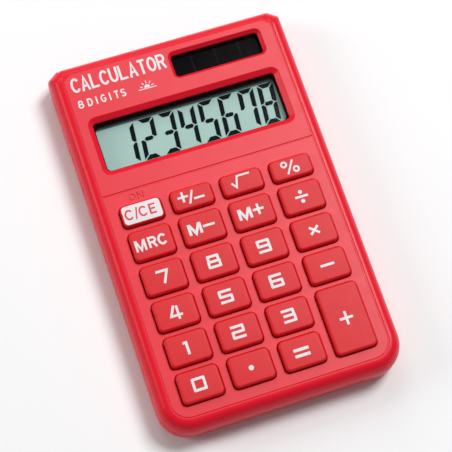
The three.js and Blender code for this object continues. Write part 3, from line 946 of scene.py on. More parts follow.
class Lettering:
    """Strokes and spots in plan, joined into one flat figure with a little thickness."""

    def __init__(self) -> None:
        """Nothing drawn yet."""
        self.shapes: list[list[Flat]] = []

    def write(self, marks: Sequence[Mark], x: float = 0, y: float = 0) -> "Lettering":
        """Draws signs, each placed from (x, y).

        Args:
            marks: the signs.
            x: where they are placed from, across.
            y: where they are placed from, along.

        Returns:
            The same lettering.
        """
        for mark in marks:
            for line in mark.lines(x, y):
                self.stroke(line, mark.pen, mark.joint)
        return self

    def stroke(self, line: Sequence[Flat], pen: float, joint: Joint = Joint.MITRED) -> "Lettering":
        """Draws a broken line with square ends; a closed one ends where it starts.

        Args:
            line: the stroke's middle line.
            pen: its width.
            joint: how its corners are made.

        Returns:
            The same lettering.
        """
        points = [Vector(point) for point in line]
        ways = [(end - start).normalized() for start, end in zip(points, points[1:])]
        if joint is Joint.ROUND:
            self.round_stroke(points, ways, pen)
        else:
            self.mitred_stroke(points, ways, pen)
        return self

    def round_stroke(self, points: Sequence[Vector], ways: Sequence[Vector], pen: float) -> None:
        """Draws a broken line as straight pieces with a disc on each corner.

        Args:
            points: the corners and ends of its middle line.
            ways: the direction of each piece.
            pen: its width.
        """
        for way, start, end in zip(ways, points, points[1:]):
            side = Vector((-way.y, way.x)) * pen / 2
            self.outline([start - side, end - side, end + side, start + side])
        for corner in points[1:-1]:
            self.spot(corner.x, corner.y, pen / 2, 16)

    def mitred_stroke(self, points: Sequence[Vector], ways: Sequence[Vector], pen: float) -> None:
        """Draws a broken line whose pieces meet in sharp corners, cut short where they are narrow.

        Args:
            points: the corners and ends of its middle line.
            ways: the direction of each piece.
            pen: its width.
        """
        closed = (points[0] - points[-1]).length < 1e-6
        longest = 2.2
        edges = []
        for index, point in enumerate(points):
            before = ways[index - 1] if index else ways[-1 if closed else 0]
            after = ways[index] if index < len(ways) else ways[0 if closed else -1]
            middle = (before + after).normalized()
            side = Vector((-middle.y, middle.x))
            reach = min(1 / max(middle.dot(after), 0.3), longest) * pen / 2
            edges.append((point + side * reach, point - side * reach))
        for (left, right), (next_left, next_right) in zip(edges, edges[1:]):
            self.outline([right, next_right, next_left, left])

    def spot(self, x: float, y: float, radius: float, steps: int = 24) -> "Lettering":
        """Draws a disc."""
        return self.outline(circle(x, y, radius, steps))

    def outline(self, points: Sequence[Flat | Vector]) -> "Lettering":
        """Draws a filled outline."""
        self.shapes.append([Vector(point) for point in points])
        return self

    def grid(self, step: float) -> list[Vector]:
        """Evenly spaced points over the figure, with which its shell can follow a curved surface.

        Args:
            step: the spacing.

        Returns:
            The points, in columns.
        """
        points = [point for shape in self.shapes for point in shape]
        left, low = (min(point[axis] for point in points) for axis in (0, 1))
        right, high = (max(point[axis] for point in points) for axis in (0, 1))
        columns = range(1, math.ceil((right - left) / step))
        rows = range(1, math.ceil((high - low) / step))
        return [Vector((left + step * column, low + step * row)) for column in columns for row in rows]

    def shell(self, bottom: Height, top: Height, step: float | None = None) -> Shell:
        """The figure as a closed shell between two heights.

        Args:
            bottom: the height of the underside.
            top: the height of the upper side.
            step: the spacing of extra points, for a figure on a curved surface.

        Returns:
            The shell.
        """
        points = [point for shape in self.shapes for point in shape]
        faces = []
        first = 0
        for shape in self.shapes:
            faces.append(list(range(first, first + len(shape))))
            first += len(shape)
        if step:
            points += self.grid(step)
        inside_only, tolerance = 1, 1e-5
        flat, _, found, _, _, sources = delaunay_2d_cdt(points, [], faces, inside_only, tolerance)
        triangles = [triangle for triangle, source in zip(found, sources) if source]
        used = sorted({index for triangle in triangles for index in triangle})
        result = Shell()
        low, high = (
            dict(zip(used, result.ring([tuple(flat[index]) for index in used], height)))
            for height in (bottom, top)
        )
        sides = set()
        for triangle in triangles:
            result.face([high[i] for i in triangle])
            result.face([low[i] for i in reversed(triangle)])
            sides.update(zip(triangle, [*triangle[1:], triangle[0]]))
        for a, b in sorted(sides):
            if (b, a) not in sides:
                result.face((low[a], low[b], high[b], high[a]))
        return result


# ---------------------------------------------------------------- case


@dataclass
class CaseForm:
    """The outside form that both shells share."""

    shoulder_run: float = 2.8
    rear_run: float = 2.6
    rear_rise: float = 2.9
    corner: float = 7.6
    chamfer_x: float = 2.5
    chamfer_y: float = 1.8
    chamfer_round: float = 0.7
    wall: float = 1.5
    lip_inset: float = 0.85
    lip_thickness: float = 0.6
    lip_height: float = 0.8
    fit: float = 0.15
    gap: float = 0.05
    seam_edge: float = 0.13
    steps: int = 12
    front: Extent = field(default_factory=lambda: Extent.of("front_shell"))
    rear: Extent = field(default_factory=lambda: Extent.of("rear_shell"))

    @property
    def face(self) -> float:
        """The height of the face."""
        return self.front.top

    @property
    def seam(self) -> float:
        """The height of the seam between the shells."""
        return self.rear.top - self.lip_height

    @property
    def half_width(self) -> float:
        """Half of the case's width."""
        return self.front.plan.right

    @property
    def half_length(self) -> float:
        """Half of the case's length."""
        return self.front.plan.high

    def outline(self, inset: float) -> list[Flat]:
        """The case in plan: two round lower corners and two chamfered upper ones.

        Args:
            inset: how far it is drawn in from the widest outline.

        Returns:
            The outline's points.
        """
        x = self.half_width - inset
        y = self.half_length - inset
        round_lower = max(self.corner - inset, 0.5)
        corners = [
            (x, -y, round_lower),
            (x, y - self.chamfer_y, self.chamfer_round),
            (x - self.chamfer_x, y, self.chamfer_round),
            (self.chamfer_x - x, y, self.chamfer_round),
            (-x, y - self.chamfer_y, self.chamfer_round),
            (-x, -y, round_lower),
        ]
        return rounded(corners, self.steps)

    def shoulder(self, angle: float) -> tuple[float, float]:
        """The inset and height of the shoulder, from the face (0) to the seam (a quarter turn)."""
        inset = self.shoulder_run * (1 - math.sin(angle))
        return inset, self.seam + (self.face - self.seam) * math.cos(angle)


@dataclass
class Opening:
    """A window's opening in the face, with a sloped bezel round it."""

    window: str
    slope: float
    depth: float = 0.9
    ledge: float = 0.9
    radius: float = 0.9
    edge: float = 0.16

    @property
    def foot(self) -> Rect:
        """The opening at the foot of its bezel."""
        return Extent.of(self.window).plan.grow(-self.ledge)

    def rings(self, shell: Shell, face: float, ceiling: float) -> list[list[int]]:
        """Adds the bezel's rings.

        Args:
            shell: the shell they are added to.
            face: the height of the face.
            ceiling: the height of the face's underside.

        Returns:
            The rings, from the face down to its underside.
        """
        foot_height = face - self.depth
        slant = math.atan2(self.depth, self.slope)
        rings = []
        reach = self.edge * math.tan(slant / 2)
        mouth = self.slope + reach
        rings.append(shell.ring(self.outline(mouth + 0.05), face))
        for step in range(4):
            turn = slant * step / 3
            grow = mouth - self.edge * math.sin(turn)
            rings.append(shell.ring(self.outline(grow), face - self.edge * (1 - math.cos(turn))))
        rings.append(shell.ring(self.outline(0.04), foot_height + 0.03))
        rings.append(shell.ring(self.outline(0), foot_height))
        rings.append(shell.ring(self.outline(0), foot_height - 0.05))
        rings.append(shell.ring(self.outline(0), ceiling))
        return rings

    def outline(self, grow: float) -> list[Flat]:
        """The opening in plan, grown by so much."""
        return self.foot.grow(grow).outline(self.radius + grow)


@dataclass
class FrontShell:
    """The face with its key holes and openings, the shoulders and the side walls down to the seam."""

    form: CaseForm
    keys: Sequence["Key"]
    display: Opening
    solar: Opening
    groove_inset: float = 3.0
    groove_width: float = 0.4
    groove_depth: float = 0.22
    lip: float = 0.06
    divider_rise: float = 3.55
    hole_edge: float = 0.14
    rib: float = 0.8
    rib_drop: float = 2.2
    boss_radius: float = 1.75
    board_boss_radius: float = 1.3
    screw_hole: float = 0.9

    @property
    def ceiling(self) -> float:
        """The height of the face's underside."""
        return Extent.of("display_window").top + self.form.gap

    def build(self) -> bpy.types.Object:
        """Makes the shell.

        Returns:
            The shell as a piece.
        """
        shell = Shell()
        form = self.form
        outer = [shell.ring(form.outline(form.shoulder_run + 0.1), form.face)]
        for angle in quarter(form.steps):
            inset, height = form.shoulder(angle)
            outer.append(shell.ring(form.outline(inset), max(height, form.seam + form.seam_edge)))
        inner_run = form.shoulder_run - form.wall / 2
        rebate = form.seam + form.lip_height + form.gap
        outer += [
            shell.ring(form.outline(form.seam_edge), form.seam),
            shell.ring(form.outline(form.lip_inset - form.fit), form.seam),
            shell.ring(form.outline(form.lip_inset - form.fit), rebate),
        ]
        for angle in reversed(quarter(4)):
            height = form.seam + (self.ceiling - form.seam) * math.cos(angle)
            inset = form.wall + inner_run * (1 - math.sin(angle))
            outer.append(shell.ring(form.outline(inset), max(height, rebate)))
        shell.stack(outer, slot=1)
        holes = [self.hole(shell, key) for key in self.keys]
        for rings in holes:
            shell.stack(rings)
        bezels = [opening.rings(shell, form.face, self.ceiling) for opening in (self.display, self.solar)]
        for rings in bezels:
            shell.stack(rings, slot=1)
        holes += bezels
        shell.fill(outer[0], [rings[0] for rings in holes])
        shell.fill(outer[-1], [rings[-1] for rings in holes])
        piece = shell.make("front_case", [Paint.CASE.material, Paint.CASE_SMOOTH.material])
        carve(piece, [
            ("UNION", self.ribs()),
            ("DIFFERENCE", self.border_groove()),
            ("DIFFERENCE", self.divider_groove()),
            ("DIFFERENCE", self.power_sign()),
        ])
        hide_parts("front_shell")
        return put(piece)

    def hole(self, shell: Shell, key: "Key") -> list[list[int]]:
        """Adds the rings of a key's hole, from the face down to its underside.

        Args:
            shell: the shell they are added to.
            key: the key that slides in the hole.

        Returns:
            The rings.
        """
        edge = self.hole_edge
        rings = [shell.ring(key.hole_outline(edge + 0.05), self.form.face)]
        for angle in quarter(3):
            grow = edge * (1 - math.sin(angle))
            rings.append(shell.ring(key.hole_outline(grow), self.form.face - edge * (1 - math.cos(angle))))
        rings.append(shell.ring(key.hole_outline(0), self.form.face - edge - 0.05))
        rings.append(shell.ring(key.hole_outline(0), self.ceiling))
        return rings

    def groove_profile(self) -> list[Flat]:
        """A groove in section: sideways and outwards from the surface that it is cut into.

        Returns:
            The section's points, from right to left.
        """
        half = self.groove_width / 2
        depth = self.groove_depth
        right = [
            (half + 4 * self.lip, 3 * self.lip),
            (half + self.lip, 0.0),
            (half, -self.lip),
            (half * 0.8, -depth * 0.75),
            (half * 0.4, -depth),
        ]
        return right + [(-x, y) for x, y in reversed(right)]

    def sweep(self, path: Sequence[tuple[Vector, Vector, Vector]]) -> Shell:
        """The groove's section carried along a path of points, each with its sideways and outward way.

        Args:
            path: for each point: its place, its sideways way and its outward way.

        Returns:
            A closed shell, to be cut out.
        """
        shell = Shell()
        rings = []
        for point, side, out in path:
            rings.append(shell.row([point + side * x + out * y for x, y in self.groove_profile()]))
        shell.stack(rings)
        shell.face(rings[0])
        shell.face(rings[-1])
        return shell

    def border_groove(self) -> Shell:
        """The groove down both sides and across the lower end, which runs out over the top end.

        Returns:
            A closed shell, to be cut out.
        """
        form = self.form
        x = form.half_width - self.groove_inset - self.groove_width / 2
        up = Vector((0, 0, 1))
        radius = form.corner - self.groove_inset - self.groove_width / 2
        low = self.groove_inset + self.groove_width / 2 - form.half_length + radius
        half = []
        below = Vector((x, form.half_length, form.seam - 0.5))
        half.append((below, Vector((1, 0, 0)), Vector((0, 1, 0))))
        for angle in reversed(quarter(10)):
            inset, height = form.shoulder(angle)
            out = Vector((0, math.sin(angle) / form.shoulder_run, math.cos(angle) / (form.face - form.seam)))
            half.append((Vector((x, form.half_length - inset, height)), Vector((1, 0, 0)), out.normalized()))
        for angle in quarter(12):
            side = Vector((math.cos(angle), -math.sin(angle), 0))
            middle = Vector((x - radius, low, form.face))
            half.append((middle + side * radius, side, up))
        mirror = [
            (Vector((-p.x, p.y, p.z)), Vector((-side.x, side.y, side.z)), out)
            for p, side, out in reversed(half)
        ]
        return self.sweep(half + mirror)

    def divider_groove(self) -> Shell:
        """The groove across the face between the keys and the display.

        Returns:
            A closed shell, to be cut out.
        """
        top_row = max(key.hole.high for key in self.keys)
        y = top_row + self.divider_rise
        x = self.form.half_width - self.groove_inset - self.groove_width / 2
        side = Vector((0, 1, 0))
        up = Vector((0, 0, 1))
        return self.sweep([(Vector((end, y, self.form.face)), side, up) for end in (-x, x)])

    def power_sign(self) -> Shell:
        """The sunk word over the key that switches on.

        Returns:
            A closed shell, to be cut out.
        """
        key = next(key for key in self.keys if key.node == "key_on_clear")
        low = key.hole.high + 0.9
        marks = [
            Mark("O", key.hole.x - 1.65, key.hole.x - 0.35, low, low + 1.5, 0.26),
            Mark("N", key.hole.x + 0.35, key.hole.x + 1.65, low, low + 1.5, 0.26),
        ]
        return Lettering().write(marks).shell(self.form.face - 0.2, self.form.face + 0.5)

    def ribs(self) -> Shell:
        """The frames round the windows and the bosses that the screws bite in, under the face.

        Returns:
            Closed shells, to be joined on.
        """
        shell = Shell()
        top = self.ceiling + 0.4
        for node in ("display_front_glass", "solar_window"):
            plan = Extent.of(node).plan
            if node == "display_front_glass":
                plan = Rect(plan.left, plan.right, plan.low, Extent.of("display_rear_glass").plan.high)
            outer = plan.grow(self.form.fit + self.rib).outline(0.4)
            inner = plan.grow(self.form.fit).outline(0.2)
            low = self.ceiling - self.rib_drop
            section = ((outer, top), (outer, low), (inner, low), (inner, top))
            rings = [shell.ring(line, height) for line, height in section]
            shell.stack([*rings, rings[0]])
        for name, count, radius in (("case", 6, self.boss_radius), ("board", 4, self.board_boss_radius)):
            for number in range(1, count + 1):
                screw = Extent.of(f"{name}_screw_{number}")
                x, y = screw.plan.x, screw.plan.y
                low = Extent.of("circuit_board").top + (0 if name == "case" else self.form.gap)
                hole = circle(x, y, self.screw_hole)
                rings = [
                    shell.ring(circle(x, y, radius), top),
                    shell.ring(circle(x, y, radius), low),
                    shell.ring(hole, low),
                    shell.ring(hole, screw.top + 0.2),
                ]
                shell.solid(rings)
        return shell


@dataclass
class FacePrint:
    """The white print at the top of the face: what the thing is, its digits and a small sun."""

    form: CaseForm
    left: float = -25.0
    title_rise: float = 0.25
    title_letter: tuple[float, float] = (1.62, 3.3)
    title_pitch: float = 2.42
    title_pen: float = 0.58
    line_drop: float = 4.05
    line_letter: tuple[float, float] = (0.95, 1.7)
    line_pitch: float = 1.68
    line_pen: float = 0.36
    sun_place: float = -7.6
    sun_drop: float = 3.0
    ink: float = 0.03
    bite: float = 0.06

    def build(self) -> bpy.types.Object:
        """Makes the print.

        Returns:
            The print as a piece.
        """
        figure = Lettering()
        solar = Extent.of("solar_window").plan
        title = solar.y + self.title_rise
        line = solar.y - self.line_drop
        self.word(figure, "CALCULATOR", self.left, title, self.title_letter, self.title_pitch, self.title_pen)
        high = line + self.line_letter[1]
        figure.write([Mark("round 8", self.left + 0.15, self.left + 1.2, line, high, self.line_pen)])
        self.word(figure, "DIGITS", self.left + 2.5, line, self.line_letter, self.line_pitch, self.line_pen)
        self.sun(figure, self.sun_place, solar.y - self.sun_drop)
        shell = figure.shell(self.form.face - self.bite, self.form.face + self.ink)
        return put(shell.make("face_print", [Paint.WHITE_PRINT.material]))

    def word(self, figure: Lettering, word: str, left: float, low: float, size: tuple[float, float],
             pitch: float, pen: float) -> None:
        """Writes capital letters of one width, one pitch apart.

        Args:
            figure: what they are drawn in.
            word: the letters.
            left: where the first starts.
            low: the line they stand on.
            size: each letter's width and height.
            pitch: the pitch.
            pen: the width of the strokes.
        """
        width, height = size
        for index, letter in enumerate(word):
            x = left + index * pitch
            figure.write([Mark(letter, x, x + width, low, low + height, pen)])

    def sun(self, figure: Lettering, x: float, y: float) -> None:
        """Draws a half sun with five rays over a line, the common sign for light.

        Args:
            figure: what it is drawn in.
            x: its middle, across.
            y: its middle, along.
        """
        figure.outline(arc(x, y - 0.6, 0.75, 0.75, 0, 180))
        figure.stroke([(x - 2.3, y - 0.85), (x + 2.3, y - 0.85)], 0.22)
        for angle in (15, 52, 90, 128, 165):
            way = Vector((math.cos(math.radians(angle)), math.sin(math.radians(angle))))
            middle = Vector((x, y - 0.6))
            figure.stroke([tuple(middle + way * 1.1), tuple(middle + way * 1.8)], 0.24)


@dataclass
class RearShell:
    """The tray under the seam: a flat back with rounded edges, a lip, bosses and a battery pocket."""

    form: CaseForm
    floor: float = 1.4
    counterbore: float = 1.5
    head_hole: float = 1.7
    shank_hole: float = 1.0
    mouth: float = 0.2
    boss_radius: float = 1.75
    pocket_wall: float = 0.8
    pocket_rise: float = 1.8

    def build(self) -> bpy.types.Object:
        """Makes the shell.

        Returns:
            The shell as a piece.
        """
        form = self.form
        shell = Shell()
        rings = [shell.ring(form.outline(form.rear_run + 0.1), 0)]
        for angle in quarter(10):
            inset = form.rear_run * (1 - math.sin(angle))
            rings.append(shell.ring(form.outline(inset), form.rear_rise * (1 - math.cos(angle))))
        rings += [
            shell.ring(form.outline(0), form.seam - form.seam_edge),
            shell.ring(form.outline(form.seam_edge), form.seam),
            shell.ring(form.outline(form.lip_inset), form.seam),
            shell.ring(form.outline(form.lip_inset), form.rear.top),
            shell.ring(form.outline(form.lip_inset + form.lip_thickness), form.rear.top),
            shell.ring(form.outline(form.lip_inset + form.lip_thickness), form.seam - form.lip_height),
        ]
        inner_run = form.rear_run - form.wall / 2
        for angle in reversed(quarter(4)):
            inset = form.wall + 0.02 + inner_run * (1 - math.sin(angle))
            height = self.floor + (form.rear_rise - self.floor / 2) * (1 - math.cos(angle))
            rings.append(shell.ring(form.outline(inset), height))
        shell.stack(rings, slot=1)
        shell.fill(rings[0])
        shell.fill(rings[-1])
        piece = shell.make("rear_case", [Paint.CASE.material, Paint.CASE_SMOOTH.material])
        carve(piece, [("UNION", self.bosses()), ("DIFFERENCE", self.holes())])
        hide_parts("rear_shell")
        return put(piece)

    def places(self) -> list[Flat]:
        """Where the six case screws are."""
        plans = [Extent.of(f"case_screw_{number}").plan for number in range(1, 7)]
        return [(plan.x, plan.y) for plan in plans]

    def bosses(self) -> Shell:
        """The bosses that the screws go through and the ring round the battery.

        Returns:
            Closed shells, to be joined on.
        """
        shell = Shell()
        low = self.floor / 2
        top = Extent.of("circuit_board").top - 2 * self.form.gap
        for x, y in self.places():
            shell.column(circle(x, y, self.boss_radius), low, top)
        cell = Extent.of("button_cell").plan
        radius = (cell.right - cell.left) / 2 + self.form.fit
        contact = Extent.of("battery_contact_negative").plan
        start = math.asin((contact.left - cell.x - 0.2) / radius) - math.pi / 2
        end = math.asin((contact.right - cell.x + 0.2) / radius) - math.pi / 2
        angles = [end + (start + 2 * math.pi - end) * step / 48 for step in range(49)]
        rows = []
        for angle in angles:
            way = Vector((math.cos(angle), math.sin(angle), 0))
            middle = Vector((cell.x, cell.y, 0))
            inner = middle + way * radius
            outer = middle + way * (radius + self.pocket_wall)
            height = Vector((0, 0, self.floor + self.pocket_rise))
            base = Vector((0, 0, low))
            rows.append(shell.row([inner + base, outer + base, outer + height, inner + height]))
        shell.stack(rows)
        shell.face(rows[0])
        shell.face(rows[-1])
        return shell

    def holes(self) -> Shell:
        """The stepped screw holes, widened a little at their mouths.

        Returns:
            Closed shells, to be cut out.
        """
        shell = Shell()
        steps = [
            (self.head_hole + self.mouth + 0.1, -0.1),
            (self.head_hole, self.mouth),
            (self.head_hole, self.counterbore),
            (self.shank_hole, self.counterbore),
            (self.shank_hole, self.form.seam + 1),
        ]
        for x, y in self.places():
            rings = [shell.ring(circle(x, y, radius), height) for radius, height in steps]
            shell.solid(rings)
        return shell


# ---------------------------------------------------------------- keys


@dataclass
class Key:
    """One key: a hollow cap with a crowned top, which slides in its hole."""

    node: str
    marks: Sequence[Mark] = ()
    spots: Sequence[tuple[float, float, float]] = ()
    panel: bool = False
    panel_margin: float = 0.38
    flange: float = 0.3
    flange_thickness: float = 0.8
    clearance: float = 0.17
    draft: float = 0.06
    edge: float = 0.55
    corner: float = 1.4
    crown: float = 0.16
    wall: float = 1.2
    plunger: float = 1.5
    ink: float = 0.03
    print_step: float = 0.43
    crown_steps: tuple[float, ...] = (0.985, 0.9, 0.78, 0.62, 0.45, 0.28, 0.12)

    def __post_init__(self) -> None:
        """Reads the key's room from the frame."""
        self.room = Extent.of(self.node)
        self.hole = self.room.plan.grow(-self.flange)

    def hole_outline(self, grow: float) -> list[Flat]:
        """The key's hole, grown by so much."""
        return self.hole.grow(grow).outline(self.corner + grow)

    def outline(self, inset: float) -> list[Flat]:
        """The cap at an inset from its hole."""
        return self.hole.grow(-inset).outline(max(self.corner - inset, 0.12), 6, 5)

    def top(self, x: float, y: float) -> float:
        """The height of the crowned top.

        Args:
            x: the place, across.
            y: the place, along.

        Returns:
            The height there.
        """
        half_x = (self.hole.right - self.hole.left) / 2
        half_y = (self.hole.high - self.hole.low) / 2
        across = (x - self.hole.x) / half_x
        along = (y - self.hole.y) / half_y
        return self.room.top - self.crown * (0.35 * across * across + 0.65 * along * along)

    def over(self, lift: float) -> Height:
        """The surface that lies so far over the crowned top."""
        return lambda x, y: self.top(x, y) + lift

    def build(self) -> list[bpy.types.Object]:
        """Makes the cap and its print.

        Returns:
            The cap and each film of print.
        """
        white = self.node == "key_on_clear"
        paint = Paint.KEY_WHITE if white else Paint.KEY
        piece = self.cap().make(f"{self.node}_cap", [paint.material])
        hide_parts(self.node)
        put(piece, self.node)
        pieces = [piece]
        base = self.clearance + self.draft
        if self.panel:
            film = self.panel_print(base + self.panel_margin)
            panel = film.make(f"{self.node}_panel", [Paint.WHITE_PRINT.material])
            pieces.append(put(panel, self.node))
            pieces.append(self.printed(self.figure(), "sign", Paint.RED_PRINT, self.ink))
        else:
            pieces.append(self.printed(self.figure(), "sign", Paint.WHITE_PRINT, 0.0))
        return pieces

    def panel_print(self, inset: float) -> Shell:
        """The film of ink that covers the whole top, from an inset inwards.

        Args:
            inset: how far its edge is from the hole.

        Returns:
            The film.
        """
        shell = Shell()
        rim = self.outline(inset)
        lines = [rim, *(self.shrunk(rim, share) for share in self.crown_steps)]
        upper = [shell.ring(line, self.over(self.ink)) for line in lines]
        lower = [shell.ring(line, self.over(-self.ink)) for line in lines]
        shell.stack([*reversed(lower), *upper])
        shell.fan(upper[-1])
        shell.fan(lower[-1])
        return shell

    def shrunk(self, line: Sequence[Flat], share: float) -> list[Flat]:
        """An outline shrunk towards the middle of the key."""
        x, y = self.hole.x, self.hole.y
        return [(x + (a - x) * share, y + (b - y) * share) for a, b in line]

    def figure(self) -> Lettering:
        """The key's signs, placed about the middle of its hole.

        Returns:
            The signs as one figure.
        """
        figure = Lettering().write(self.marks, self.hole.x, self.hole.y)
        for x, y, radius in self.spots:
            figure.spot(x + self.hole.x, y + self.hole.y, radius)
        return figure

    def printed(self, figure: Lettering, part: str, paint: Paint, lift: float) -> bpy.types.Object:
        """Makes a figure a film of ink on the cap.

        Args:
            figure: the signs.
            part: what the piece's name ends in.
            paint: the ink.
            lift: how much higher than the cap's own print it lies.

        Returns:
            The print as a piece.
        """
        film = figure.shell(self.over(-2 * self.ink), self.over(self.ink + lift), self.print_step)
        return put(film.make(f"{self.node}_{part}", [paint.material]), self.node)

    def cap(self) -> Shell:
        """The cap, its flange and the plunger inside it.

        Returns:
            The cap.
        """
        shell = Shell()
        room = self.room
        base = self.clearance
        bottom = room.bottom
        flange_top = bottom + self.flange_thickness
        side_top = room.top - self.edge
        rings = [
            shell.ring(self.outline(base + self.wall), bottom),
            shell.ring(self.outline(-self.flange), bottom),
            shell.ring(self.outline(-self.flange), flange_top),
            shell.ring(self.outline(base), flange_top),
            shell.ring(self.outline(base + 0.01), flange_top + 0.05),
            shell.ring(self.outline(base + self.draft), side_top - 0.1),
        ]
        for angle in quarter(7):
            inset = base + self.draft + self.edge * (1 - math.cos(angle))
            drop = self.edge * (1 - math.sin(angle))
            rings.append(shell.ring(self.outline(inset), self.over(-drop)))
        rim = self.outline(base + self.draft + self.edge)
        rings += [shell.ring(self.shrunk(rim, share), self.top) for share in self.crown_steps]
        shell.stack(rings)
        shell.fan(rings[-1])
        under = room.top - self.wall - self.crown
        roof = shell.ring(self.outline(base + self.wall), under)
        shell.bridge(rings[0], roof)
        x, y = self.hole.x, self.hole.y
        stem = [shell.ring(circle(x, y, self.plunger), z) for z in (under, bottom + 0.15)]
        stem.append(shell.ring(circle(x, y, self.plunger - 0.15), bottom))
        shell.fill(roof, [stem[0]])
        shell.stack(stem)
        shell.fill(stem[-1])
        return shell


class Keypad:
    """The twenty-three keys and the rubber sheet with a dome under each."""

    def __init__(self) -> None:
        """Lays out what each key carries, by its place from the middle of the key."""
        row = dict(low=-1.12, high=1.12, pen=0.54)
        self.keys = [Key(f"key_{sign}", [Mark(sign, -1.58, 1.08, -1.28, 1.34, 0.64)]) for sign in "023568"]
        self.keys += [
            Key("key_9", [Mark("9", -1.6, 1.04, -1.28, 1.34, 0.64)]),
            Key("key_4", [Mark("4", -1.55, 1.1, -1.5, 1.3, 0.58)]),
            Key("key_7", [Mark("7", -1.42, 1.12, -1.25, 1.5, 0.6)]),
            Key("key_1", [Mark("1", -0.95, 0.2, -1.3, 1.28, 0.64)]),
            Key("key_point", spots=[(-0.13, -0.07, 0.62)]),
            Key("key_equals", [Mark("=", -2.1, 1.62, -0.88, 0.55, 0.72)]),
            Key("key_plus", [Mark("+", -1.73, 1.57, -1.74, 1.56, 0.6)]),
            Key("key_minus", [Mark("-", -1.68, 1.72, 0.05, 0.07, 0.6)]),
            Key("key_multiply", [Mark("x", -1.13, 1.07, -0.8, 1.04, 0.58)]),
            Key(
                "key_divide",
                [Mark("-", -1.73, 1.47, 0.05, 0.07, 0.57)],
                spots=[(-0.13, 1.24, 0.5), (-0.13, -1.12, 0.5)],
            ),
            Key("key_memory_recall", [
                Mark("M", -3.95, -1.85, **row),
                Mark("R", -0.75, 0.8, **row),
                Mark("C", 1.55, 3.2, **row),
            ]),
            Key("key_memory_minus", [
                Mark("M", -3.28, -0.6, low=-1.05, high=1.15, pen=0.66),
                Mark("-", 0.05, 2.95, 0.04, 0.06, 0.58),
            ]),
            Key("key_memory_plus", [
                Mark("M", -3.28, -0.6, low=-1.05, high=1.15, pen=0.66),
                Mark("+", 0.1, 2.8, -1.12, 1.58, 0.58),
            ]),
            Key("key_change_sign", [
                Mark("+", -3.55, -0.95, -0.85, 1.75, 0.54),
                Mark("/", -1.0, 0.35, -1.55, 1.6, 0.48),
                Mark("-", 0.25, 2.85, -0.61, -0.6, 0.54),
            ]),
            Key("key_square_root", [Mark("v", -2.6, 2.3, -1.0, 1.72, 0.46)]),
            Key("key_percent", [
                Mark("/", -1.3, 0.75, -1.6, 1.75, 0.46),
                Mark("o", -2.25, -1.0, 0.35, 1.6, 0.46),
                Mark("o", 0.4, 1.65, -1.4, -0.15, 0.46),
            ]),
            Key("key_on_clear", [
                Mark("C", -4.05, -2.45, -1.05, 1.15, 0.42),
                Mark("/", -1.75, -1.05, -1.45, 1.5, 0.36),
                Mark("C", -0.6, 1.0, -1.05, 1.15, 0.42),
                Mark("E", 1.95, 3.3, -1.05, 1.15, 0.42),
            ], panel=True),
        ]

    def build(self) -> None:
        """Makes the keys, the domes and the sheet."""
        for key in self.keys:
            key.build()
        DomeSheet(self.keys).build()


@dataclass
class DomeSheet:
    """The rubber sheet over the board, with a dome under each key that the key presses, made in its resting
    shape.
    """

    keys: Sequence[Key]
    thickness: float = 0.6
    base_radius: float = 2.7
    top_radius: float = 1.9
    wall: float = 0.5
    keep: float = 0.54

    def build(self) -> None:
        """Makes the sheet and its domes."""
        room = Extent.of("keypad_sheet")
        top = room.bottom + self.thickness
        sheet = Shell()
        outer = [
            sheet.ring(room.plan.grow(-inset).outline(1), z)
            for inset, z in ((0, room.bottom), (0, top - 0.1), (0.1, top))
        ]
        sheet.stack(outer)
        holes = []
        for key in self.keys:
            line = circle(key.hole.x, key.hole.y, self.base_radius + 0.02)
            holes.append([sheet.ring(line, room.bottom), sheet.ring(line, top)])
            sheet.stack(holes[-1])
        sheet.fill(outer[0], [hole[0] for hole in holes])
        sheet.fill(outer[-1], [hole[1] for hole in holes])
        piece = sheet.make("rubber_sheet", [Paint.RUBBER.material])
        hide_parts("keypad_sheet")
        put(piece)
        for key in self.keys:
            self.dome(key, room)

    def dome(self, key: Key, room: Extent) -> None:
        """Makes one dome, in its resting shape.

        Args:
            key: the key over it.
            room: the room of the whole sheet.
        """
        x, y = key.hole.x, key.hole.y
        base, rim = self.base_radius, self.top_radius
        profile = [
            (base, room.bottom), (base, room.bottom + self.thickness), (base - 0.2, room.bottom + 0.8),
            (rim + 0.05, room.top - 0.5), (rim, room.top - 0.15), (rim - 0.15, room.top), (0.01, room.top),
            (0.01, room.top - self.wall), (rim - self.wall, room.top - self.wall),
            (base - self.wall, room.bottom + 0.3), (base - self.wall, room.bottom),
        ]
        shell = Shell()
        rings = [shell.ring(circle(x, y, radius, 20), z) for radius, z in profile]
        shell.stack([*rings, rings[0]])
        piece = shell.make(f"{key.node}_dome", [Paint.RUBBER.material])
        put(piece)
        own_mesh(piece)


# ---------------------------------------------------------------- display and solar cell


@dataclass
class Plate:
    """A thin flat plate with eased edges that takes the place of one piece of the frame."""

    node: str
    paint: Paint
    radius: float
    edge: float

    def build(self) -> bpy.types.Object:
        """Makes the plate.

        Returns:
            The plate as a piece.
        """
        room = Extent.of(self.node)
        shell = Shell()
        steps = [
            (self.edge, room.bottom), (0, room.bottom + self.edge),
            (0, room.top - self.edge), (self.edge, room.top),
        ]
        rings = [
            shell.ring(room.plan.grow(-inset).outline(max(self.radius - inset, 0.03), 5), z)
            for inset, z in steps
        ]
        shell.solid(rings)
        piece = shell.make(f"{self.node}_plate", [self.paint.material])
        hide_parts(self.node)
        return put(piece)


SEGMENTS_LIT = {
    "1": "bc", "2": "abged", "3": "abgcd", "4": "fgbc",
    "5": "afgcd", "6": "afgedc", "7": "fabc", "8": "abcdefg",
}


